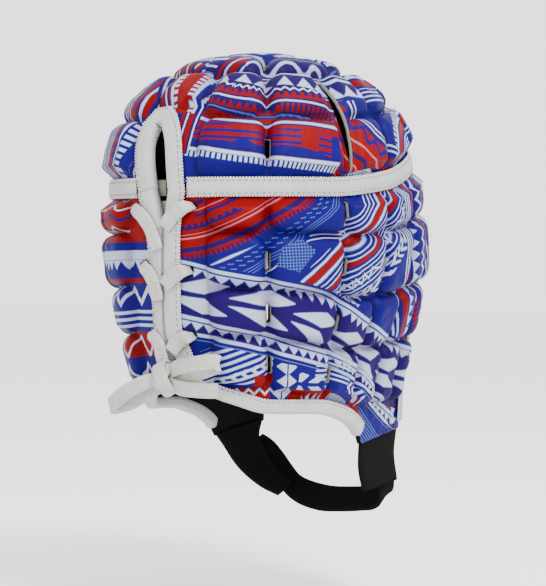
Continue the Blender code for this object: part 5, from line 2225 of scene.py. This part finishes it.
@dataclass(frozen=True)
class PrintedKnit:
    """The printed stretch knit of the outer face, with painted shade toward the quilting channels."""

    art: Artwork
    name: str = "printed knit"
    # painted shade: a dark purple tint multiplied into the print toward the quilting channels
    channel_shade_color: Color = (0.55, 0.34, 0.66)
    channel_shade_share: float = 0.75
    grain: float = 1500.0
    grain_depth: float = 0.0002
    roughness: float = 0.50
    gloss: float = 0.05
    leaf_rise: float = 1.6
    leaf_fall: float = 2.6
    leaf_start: float = 0.20
    leaf_wide: float = 0.40
    tooth_slope: float = 0.6
    step_low: float = 0.45
    spot_share: float = 0.32

    @staticmethod
    def saw(nodes: Nodes, value: object, scale: float, add: object = 0.0) -> bpy.types.NodeSocket:
        """Distance from the middle of each repeat, 0 to 0.5."""
        turns = nodes.math("FRACT", nodes.scaled(value, scale, add))
        return nodes.size(nodes.less(turns, 0.5))

    def depth(
        self, nodes: Nodes, stroke: Stroke, along: object, across: object
    ) -> bpy.types.NodeSocket:
        """How far inside a stroke a place is, in mm.

        Args:
            nodes: The material's nodes.
            stroke: The stroke.
            along: Way along its guide.
            across: Way across it.

        Returns:
            The depth, above 0 inside.
        """
        sign, tall, period = math.copysign(1, stroke.tall), abs(stroke.tall), stroke.period
        rise = nodes.scaled(across, sign, -stroke.base * sign)
        within = nodes.least(rise, nodes.less(tall, rise))
        if stroke.motif is Motif.BAND:
            return within
        if stroke.motif is Motif.LINES:
            return nodes.least(within, self.bar(nodes, stroke, self.saw(nodes, rise, 1 / period)))
        if stroke.motif is Motif.HATCH:
            rows = [self.saw(nodes, nodes.scaled(rise, way, along), 1 / period) for way in (1, -1)]
            return nodes.least(within, self.bar(nodes, stroke, nodes.least(*rows)))
        if stroke.motif in (Motif.LEAVES, Motif.CHEVRONS):
            out = nodes.size(nodes.scaled(rise, 2 / tall, -1.0))
            if stroke.motif is Motif.LEAVES:
                shape = self.leaf(nodes, stroke, along, out)
            else:
                peak = self.saw(nodes, along, 1 / period, nodes.times(out, -0.5 * tall / period))
                shape = self.bar(nodes, stroke, peak)
            return nodes.least(within, shape)
        peak = self.saw(nodes, along, 1 / period)
        if stroke.motif is Motif.TEETH:
            return nodes.least(within, self.bar(nodes, stroke, peak))
        if stroke.motif is Motif.TRIANGLES:
            top = nodes.less(nodes.scaled(peak, -2 * tall, tall), rise)
            return nodes.least(rise, nodes.times(top, self.tooth_slope))
        if stroke.motif is Motif.STEPS:
            tooth = nodes.math("LESS_THAN", peak, stroke.duty / 2)
            low = self.step_low * tall
            return nodes.least(rise, nodes.less(nodes.scaled(tooth, tall - low, low), rise))
        wide = stroke.duty * tall
        if stroke.motif is Motif.ZIGZAG:
            middle = nodes.scaled(peak, 2 * (tall - wide), wide / 2)
        else:
            swing = nodes.math("SINE", nodes.times(along, FULL_TURN / period))
            middle = nodes.scaled(swing, (tall - wide) / 2, tall / 2)
        shape = nodes.less(wide / 2, nodes.size(nodes.less(rise, middle)))
        if stroke.motif is Motif.SPOTS:
            shape = nodes.least(shape, nodes.scaled(peak, -period, self.spot_share * period))
        return shape

    @staticmethod
    def bar(nodes: Nodes, stroke: Stroke, peak: object) -> bpy.types.NodeSocket:
        """Depth in a repeated bar, from the distance to the middle of its repeat."""
        return nodes.scaled(peak, -stroke.period, stroke.duty / 2 * stroke.period)

    def leaf(self, nodes: Nodes, stroke: Stroke, along: object, out: object) -> bpy.types.NodeSocket:
        """Depth in one of the paired leaves of a stroke.

        Args:
            nodes: The material's nodes.
            stroke: The stroke.
            along: Way along its guide.
            out: Distance from the stroke's middle, as a share of its half.

        Returns:
            The depth in mm.
        """
        share = nodes.math("FRACT", nodes.times(along, 1 / stroke.period))
        rising = nodes.times(share, self.leaf_rise)
        swell = nodes.least(rising, nodes.scaled(share, -self.leaf_fall, self.leaf_fall))
        off = nodes.size(nodes.less(out, nodes.scaled(share, stroke.duty, self.leaf_start)))
        shape = nodes.scaled(swell, self.leaf_wide, nodes.times(off, -1.0))
        return nodes.times(shape, abs(stroke.tall) / 2)

    def material(self) -> bpy.types.Material:
        """Builds the material.

        Returns:
            The material.
        """
        nodes = Nodes(self.name)
        windows = {guide.name: bool(guide.window) for guide in self.art.guides}
        color = (*Ink.BLUE.value, 1)
        for stroke in self.art.strokes:
            split = nodes.new("ShaderNodeSeparateXYZ")
            nodes.link(nodes.attribute("print_" + stroke.guide).outputs["Vector"], split.inputs[0])
            along, across, window = split.outputs
            depth = self.depth(nodes, stroke, along, across)
            if stroke.start is not None:
                depth = nodes.least(depth, nodes.less(along, stroke.start))
            if stroke.stop is not None:
                depth = nodes.least(depth, nodes.less(stroke.stop, along))
            if windows[stroke.guide]:
                depth = nodes.least(depth, window)
            if stroke.rim:
                edge = nodes.math("GREATER_THAN", depth, -stroke.rim)
                color = nodes.mix(edge, color, (*Ink.LIGHT.value, 1))
            within = nodes.math("GREATER_THAN", depth, 0.0)
            color = nodes.mix(within, color, (*stroke.ink.value, 1))
        # Painted shade: the print is multiplied by a dark purple tint toward the quilting channels,
        # where shade falls.
        channel = nodes.attribute("channel").outputs["Fac"]
        tint = nodes.new("ShaderNodeMix", data_type="RGBA", blend_type="MULTIPLY")
        near = nodes.scaled(nodes.least(channel, 1.0), -self.channel_shade_share, self.channel_shade_share)
        nodes.link(near, tint.inputs[0])
        nodes.link(color, tint.inputs[6])
        nodes.link((*self.channel_shade_color, 1), tint.inputs[7])
        nodes.link(tint.outputs[2], nodes.shader.inputs["Base Color"])
        nodes.bump(nodes.noise(self.grain), 0.2, self.grain_depth)
        nodes.surface(self.roughness, 0.0, self.gloss)
        return nodes.material


class StitchTree:
    """The geometry tree that lays one thread at each point of a row."""

    least_size = 0.9
    most_size = 1.1

    def __init__(self) -> None:
        """Builds the tree with its named inputs."""
        self.tree = bpy.data.node_groups.new("laid_threads", "GeometryNodeTree")
        sockets = self.tree.interface
        sockets.new_socket("Geometry", in_out="INPUT", socket_type="NodeSocketGeometry")
        kinds = {
            "Length": "Float", "Width": "Float", "Height": "Float", "Seed": "Int", "Finish": "Material",
        }
        self.inputs = {
            name: sockets.new_socket(name, in_out="INPUT", socket_type="NodeSocket" + kind)
            for name, kind in kinds.items()
        }
        sockets.new_socket("Geometry", in_out="OUTPUT", socket_type="NodeSocketGeometry")
        given = self.tree.nodes.new("NodeGroupInput").outputs
        target = self.tree.nodes.new("NodeGroupOutput")
        ball = self.node("GeometryNodeMeshUVSphere", {"Segments": 8, "Rings": 5, "Radius": 0.5})
        size = self.node(
            "ShaderNodeCombineXYZ", {"X": given["Length"], "Y": given["Width"], "Z": given["Height"]}
        )
        thread = self.node("GeometryNodeTransform", {"Geometry": ball, "Scale": size})
        way, up = (
            self.node("GeometryNodeInputNamedAttribute", {"Name": name}, data_type="FLOAT_VECTOR")
            for name in ("stitch_way", "stitch_up")
        )
        along = self.node("FunctionNodeAlignRotationToVector", {"Vector": way}, axis="X")
        turn = self.node(
            "FunctionNodeAlignRotationToVector", {"Rotation": along, "Vector": up},
            axis="Z", pivot_axis="X",
        )
        spread = self.node("FunctionNodeRandomValue", {"Seed": given["Seed"]}, data_type="FLOAT")
        spread.inputs[2].default_value, spread.inputs[3].default_value = self.least_size, self.most_size
        laid = self.node("GeometryNodeInstanceOnPoints", {
            "Points": given["Geometry"], "Instance": thread, "Rotation": turn,
            "Scale": spread.outputs[1],
        })
        real = self.node("GeometryNodeRealizeInstances", {"Geometry": laid})
        smooth = self.node("GeometryNodeSetShadeSmooth", {"Geometry": real})
        finish = self.node("GeometryNodeSetMaterial", {"Geometry": smooth, "Material": given["Finish"]})
        self.tree.links.new(finish.outputs[0], target.inputs[0])

    def node(self, kind: str, inputs: dict[str, object], **values: object) -> bpy.types.Node:
        """A node with its inputs joined or set.

        Args:
            kind: The node's type.
            inputs: Values, nodes or outputs by input name.
            **values: Fields of the node by name.

        Returns:
            The node.
        """
        node = self.tree.nodes.new(kind)
        for key, value in values.items():
            setattr(node, key, value)
        for key, value in inputs.items():
            if isinstance(value, bpy.types.Node):
                value = value.outputs[0]
            if isinstance(value, bpy.types.NodeSocket):
                self.tree.links.new(value, node.inputs[key])
            else:
                node.inputs[key].default_value = value
        return node


@dataclass
class ThreadRows:
    """Rows of threads or of small loops, laid along lines on the tapes."""

    name: str
    length: float
    width: float
    height: float
    spacing: float
    seed: int = 7
    points: list[np.ndarray] = field(default_factory=list)
    ways: list[np.ndarray] = field(default_factory=list)
    ups: list[np.ndarray] = field(default_factory=list)

    def add(self, line: np.ndarray, raised: np.ndarray) -> None:
        """Adds a row along a line; the raised line tells which way is out of the cloth.

        Args:
            line: Points of the line, one a row.
            raised: The same line, moved out of the cloth.
        """
        length = lengths_along(line)
        marks = np.linspace(0, length[-1], max(2, int(length[-1] / self.spacing)))
        points = read_at(marks, length, line)
        self.points.append(points)
        self.ways.append(unit(np.gradient(points, axis=0)))
        self.ups.append(unit(read_at(marks, length, raised - line)))

    def build(self, tree: StitchTree, material: bpy.types.Material) -> bpy.types.Object:
        """Lays the threads and keeps them as one plain mesh.

        Args:
            tree: The tree that lays them.
            material: The material of what is made.

        Returns:
            The piece.
        """
        mesh = bpy.data.meshes.new(self.name)
        mesh.from_pydata(np.concatenate(self.points).tolist(), [], [])
        for name, rows in (("stitch_way", self.ways), ("stitch_up", self.ups)):
            layer = mesh.attributes.new(name, "FLOAT_VECTOR", "POINT")
            layer.data.foreach_set("vector", np.concatenate(rows).astype(np.float32).ravel())
        obj = linked(self.name, mesh)
        modifier = obj.modifiers.new("threads", "NODES")
        modifier.node_group = tree.tree
        values = {"Length": self.length, "Width": self.width, "Height": self.height, "Seed": self.seed,
                  "Finish": material}
        for name, value in values.items():
            modifier[tree.inputs[name].identifier] = value
        graph = bpy.context.evaluated_depsgraph_get()
        obj.data = bpy.data.meshes.new_from_object(obj.evaluated_get(graph))
        obj.data.name = self.name
        obj.modifiers.clear()
        return dressed(obj, Slot.TAPE)


@dataclass
class Cap:
    """The whole cap."""

    tape: bpy.types.Material = field(init=False)
    lace: bpy.types.Material = field(init=False)
    webbing: bpy.types.Material = field(init=False)
    foam: bpy.types.Material = field(init=False)
    lining: bpy.types.Material = field(init=False)
    thread: bpy.types.Material = field(init=False)
    sewing: ThreadRows = field(
        default_factory=lambda: ThreadRows("sewing", 0.0024, 0.00070, 0.00060, 0.0034)
    )
    loops: ThreadRows = field(
        default_factory=lambda: ThreadRows("tape_loops", 0.0014, 0.0013, 0.0010, 0.0018, 11)
    )
    padding: float = 0.8
    row_lift: float = 0.001
    tape_rows: Rows = (
        # share of the leg, height over the tape
        (0.80, 0.00020),
        (1.0, -0.0005),
    )
    band_shape: Rows = (
        # share of the width from the middle, share of the thickness
        (-0.5, 0.0), (-0.5, 0.8), (-0.46, 1.0), (-0.36, 0.86), (-0.2, 1.25), (0.0, 1.4),
        (0.2, 1.25), (0.36, 0.86), (0.46, 1.0), (0.5, 0.8), (0.5, 0.0), (0.0, 0.3),
    )
    inner_tape: float = 0.0095
    inner_depth: float = 0.0026
    inner_thick: float = 0.001
    bar_depth: float = 0.0046
    bar_drop: float = 0.0015
    bar_reach: float = 1.05
    bar_wide: float = 0.0088
    bar_thick: float = 0.0016

    def __post_init__(self) -> None:
        """Mixes the finishes."""
        self.tape = WovenTape().material()
        self.lace = WovenLace().material()
        self.webbing = PileWebbing().material()
        self.foam = PlainKnit("foam edge", (0.20, 0.20, 0.165), (0.12, 0.12, 0.10)).material()
        # Painted shade: the sewing thread is a grey far darker than the white tape, so that the
        # stitches show as the dark dots of threads in shadow.
        thread = PlainKnit("sewing thread", (0.22, 0.215, 0.21), (0.14, 0.138, 0.135))
        self.thread = thread.material()
        lining = PlainKnit("black lining", (0.0030, 0.0030, 0.0036), (0.0012, 0.0012, 0.0015))
        self.lining = lining.material()

    def shells(self) -> None:
        """The two padded shells."""
        side_loops = [CUT.side_loop(), *CUT.side_holes(QUILT.side_vents, QUILT)]
        crown_loops = [CUT.crown_loop(), *CUT.crown_holes(QUILT.crown_vents)]
        for name, pattern, loops, relief, art in (
            ("side", SIDE, side_loops, QUILT.side_relief, SIDE_ART),
            ("crown", CROWN, crown_loops, QUILT.crown_relief, CROWN_ART),
        ):
            cloth = PrintedKnit(art, name + " print").material()
            shell = PaddedShell(
                name + "_cloth", pattern, loops, relief, cloth, self.foam, self.lining, art.coordinates
            )
            obj = dressed(shell.build(), Slot.PRINT, name + "_shell")

    def tapes(self) -> dict[str, list[EdgeTape]]:
        """The edge tapes by the CAD node that each stands for.

        Returns:
            The tapes by node name.
        """
        right = CUT.slit_edge(Side.RIGHT)[::-1]
        left = CUT.slit_edge(Side.LEFT)
        legs = CLOTH.tape_leg * smooth_table(-left[:, 1] / FORM.nape_drop, CUT.slit_line, 3)
        rim = CUT.rim_edge()[:-6]
        face = CUT.face_edge()[3:]
        face = np.concatenate([face, SIDE.mirrored(face)[::-1][1:]])
        return {
            "slit_binding": [
                EdgeTape(SIDE, right, -1, CLOTH.tape_leg),
                EdgeTape(CROWN, CUT.slit_arch(), 1, CLOTH.tape_leg),
                EdgeTape(SIDE, left, -1, legs),
            ],
            "right_rim_binding": [EdgeTape(SIDE, rim, 1, CLOTH.rim_leg)],
            "left_rim_binding": [EdgeTape(SIDE, SIDE.mirrored(rim), -1, CLOTH.rim_leg)],
            "face_binding": [EdgeTape(SIDE, face, 1, CLOTH.rim_leg)],
        }

    def bindings(self) -> None:
        """The tapes folded over the edges, with their sewing."""
        for node, tapes in self.tapes().items():
            rings = np.concatenate([tape.rings() for tape in tapes])
            dressed(Sweep.build(node + "_tape", rings, self.tape), Slot.TAPE, node)
            for row, (share, low) in zip((self.sewing, self.loops), self.tape_rows):
                row.add(*(
                    np.concatenate([tape.row(share, lift) for tape in tapes])
                    for lift in (low, low + self.row_lift)
                ))

    def seam_band(self) -> None:
        """The flat tape over the seam between the shells."""
        margin = CLOTH.tape_leg + 7 * CLOTH.gap
        start = (CUT.slit_line[0][1] * CUT.slit_wide + margin) / FORM.back_reach
        end = FULL_TURN + (CUT.slit_line[0][2] * CUT.slit_wide - margin) / FORM.back_reach
        turns = np.linspace(start, end, 420)
        base = CLOTH.wall + CLOTH.tape_gap
        rings = []
        for rise, height in self.band_shape:
            flat = SIDE.beside_band(turns, rise * CLOTH.band_width)
            rings.append(SIDE.lifted(flat, base + CLOTH.tape * height))
        obj = Sweep.build("seam_band_tape", np.stack(rings, axis=1), self.tape)
        dressed(obj, Slot.TAPE, "seam_band")
        for rise, height, row in (
            (-0.34, 1.0, self.sewing), (0.34, 1.0, self.sewing),
            (-0.5, 0.5, self.loops), (0.5, 0.5, self.loops),
        ):
            flat = SIDE.beside_band(turns, rise * CLOTH.band_width)
            low = base + CLOTH.tape * height
            row.add(SIDE.lifted(flat, low), SIDE.lifted(flat, low + self.row_lift))

    def inner_seam(self) -> None:
        """The tape over the seam inside the cap, in the grey foam finish as painted shade, and the
        lace's first bar behind the slit.
        """
        turns = np.linspace(0.02, FULL_TURN - 0.02, 300)
        rings = []
        for rise, height in ((-1, 0.3), (-1, 0.9), (1, 0.9), (1, 0.3)):
            flat = SIDE.beside_band(turns, rise * self.inner_tape / 2)
            rings.append(SIDE.lifted(flat, -self.inner_depth - self.inner_thick * height))
        # Painted shade: the inner tape takes the grey foam finish rather than the white tape's,
        # darkened as it is seen in shadow inside the cap.
        dressed(Sweep.build("inner_seam_tape", np.stack(rings, axis=1), self.foam), Slot.TAPE)
        first = CUT.lace_runs[0]
        reach = np.linspace(-self.bar_reach, first.reach, 12) * CUT.lace_reach
        drop = np.full(len(reach), -first.drop * FORM.nape_drop - self.bar_drop)
        path = SIDE.lifted(np.stack([reach, drop], axis=1), -self.bar_depth)
        upright = np.tile((0.0, 0.0, 1.0), (len(reach), 1))
        strip = Ribbon(path, upright, np.full(len(reach), self.bar_wide), self.bar_thick)
        dressed(Sweep.build("lace_bar", strip.rings(), self.lace), Slot.LACE)

    def build(self) -> None:
        """Builds every piece."""
        self.shells()
        self.bindings()
        self.seam_band()
        self.inner_seam()
        tree = StitchTree()
        self.sewing.build(tree, self.thread)
        self.loops.build(tree, self.tape)
        work = LaceWork()
        for number in range(len(CUT.lace_runs)):
            work.run(number, self.lace)
        work.bow(self.lace)
        ChinStrap().build(self.webbing)


@dataclass(frozen=True)
class Studio:
    """Pale floor, soft light and the camera at the photograph's angle."""

    azimuth: float = math.radians(215)
    elevation: float = math.radians(1)
    distance: float = 1.4
    target: tuple[float, float, float] = (0.0, 0.0, -0.062)
    picture_wide: int = 546
    picture_tall: int = 586
    focal_px: float = 2289.0
    centre_px: tuple[float, float] = (264.0, 293.0)
    sensor: float = 36.0
    near_clip: float = 0.05
    floor_drop: float = 0.25
    floor_reach: float = 6.0
    floor_color: Color = (0.93, 0.93, 0.93)
    sky_strength: float = 2.3
    lamps: Sequence[tuple[str, tuple[float, float, float], float, float]] = (
        # name, place, size, power
        ("key", (-1.2, 0.5, 1.3), 0.6, 60.0),
        ("fill", (-0.2, 1.9, 0.5), 1.0, 10.0),
    )

    def back(self) -> np.ndarray:
        """Direction from the target to the camera.

        Returns:
            A direction of length 1.
        """
        flat = math.cos(self.elevation)
        x, y = math.sin(self.azimuth) * flat, -math.cos(self.azimuth) * flat
        return np.array([x, y, math.sin(self.elevation)])

    def camera(self) -> None:
        """Places the camera."""
        data = bpy.data.cameras.new("camera")
        data.sensor_fit = "VERTICAL"
        data.sensor_height = self.sensor
        data.lens = self.sensor * self.focal_px / self.picture_tall
        data.shift_x = (self.picture_wide / 2 - self.centre_px[0]) / self.picture_tall
        data.shift_y = (self.centre_px[1] - self.picture_tall / 2) / self.picture_tall
        data.clip_start = self.near_clip
        obj = linked("camera", data)
        obj.location = Vector(np.array(self.target) + self.back() * self.distance)
        obj.rotation_euler = Vector(self.back()).to_track_quat("Z", "Y").to_euler()
        bpy.context.scene.camera = obj

    def lamp(self, name: str, place: Sequence[float], size: float, power: float) -> None:
        """A soft area lamp that faces the cap.

        Args:
            name: Its name.
            place: Where it stands.
            size: Its diameter.
            power: Its power in watts.
        """
        data = bpy.data.lights.new(name, "AREA")
        data.shape = "DISK"
        data.size = size
        data.energy = power
        obj = linked(name, data)
        obj.location = place
        aim = Vector(place) - Vector(self.target)
        obj.rotation_euler = aim.to_track_quat("Z", "Y").to_euler()

    def floor(self) -> None:
        """A wide pale floor below the cap."""
        mesh = bpy.data.meshes.new("floor")
        corners = [
            (x * self.floor_reach, y * self.floor_reach, -self.floor_drop)
            for x, y in ((-1, -1), (1, -1), (1, 1), (-1, 1))
        ]
        mesh.from_pydata(corners, [], [(0, 1, 2, 3)])
        nodes = Nodes("pale floor")
        nodes.shader.inputs["Base Color"].default_value = (*self.floor_color, 1)
        nodes.surface(0.9)
        mesh.materials.append(nodes.material)
        linked("floor", mesh)

    def sky(self) -> None:
        """An even pale surround."""
        world = bpy.data.worlds.new("studio")
        world.use_nodes = True
        background = world.node_tree.nodes["Background"]
        background.inputs["Color"].default_value = (1, 1, 1, 1)
        background.inputs["Strength"].default_value = self.sky_strength
        bpy.context.scene.world = world

    def build(self) -> None:
        """Sets the whole stage."""
        self.camera()
        self.floor()
        self.sky()
        for lamp in self.lamps:
            self.lamp(*lamp)


def main() -> None:
    """Builds the stage and the cap."""
    logging.basicConfig(level=logging.INFO, format="%(name)s: %(message)s")
    Studio().build()
    Cap().build()


if __name__ == "__main__":
    main()
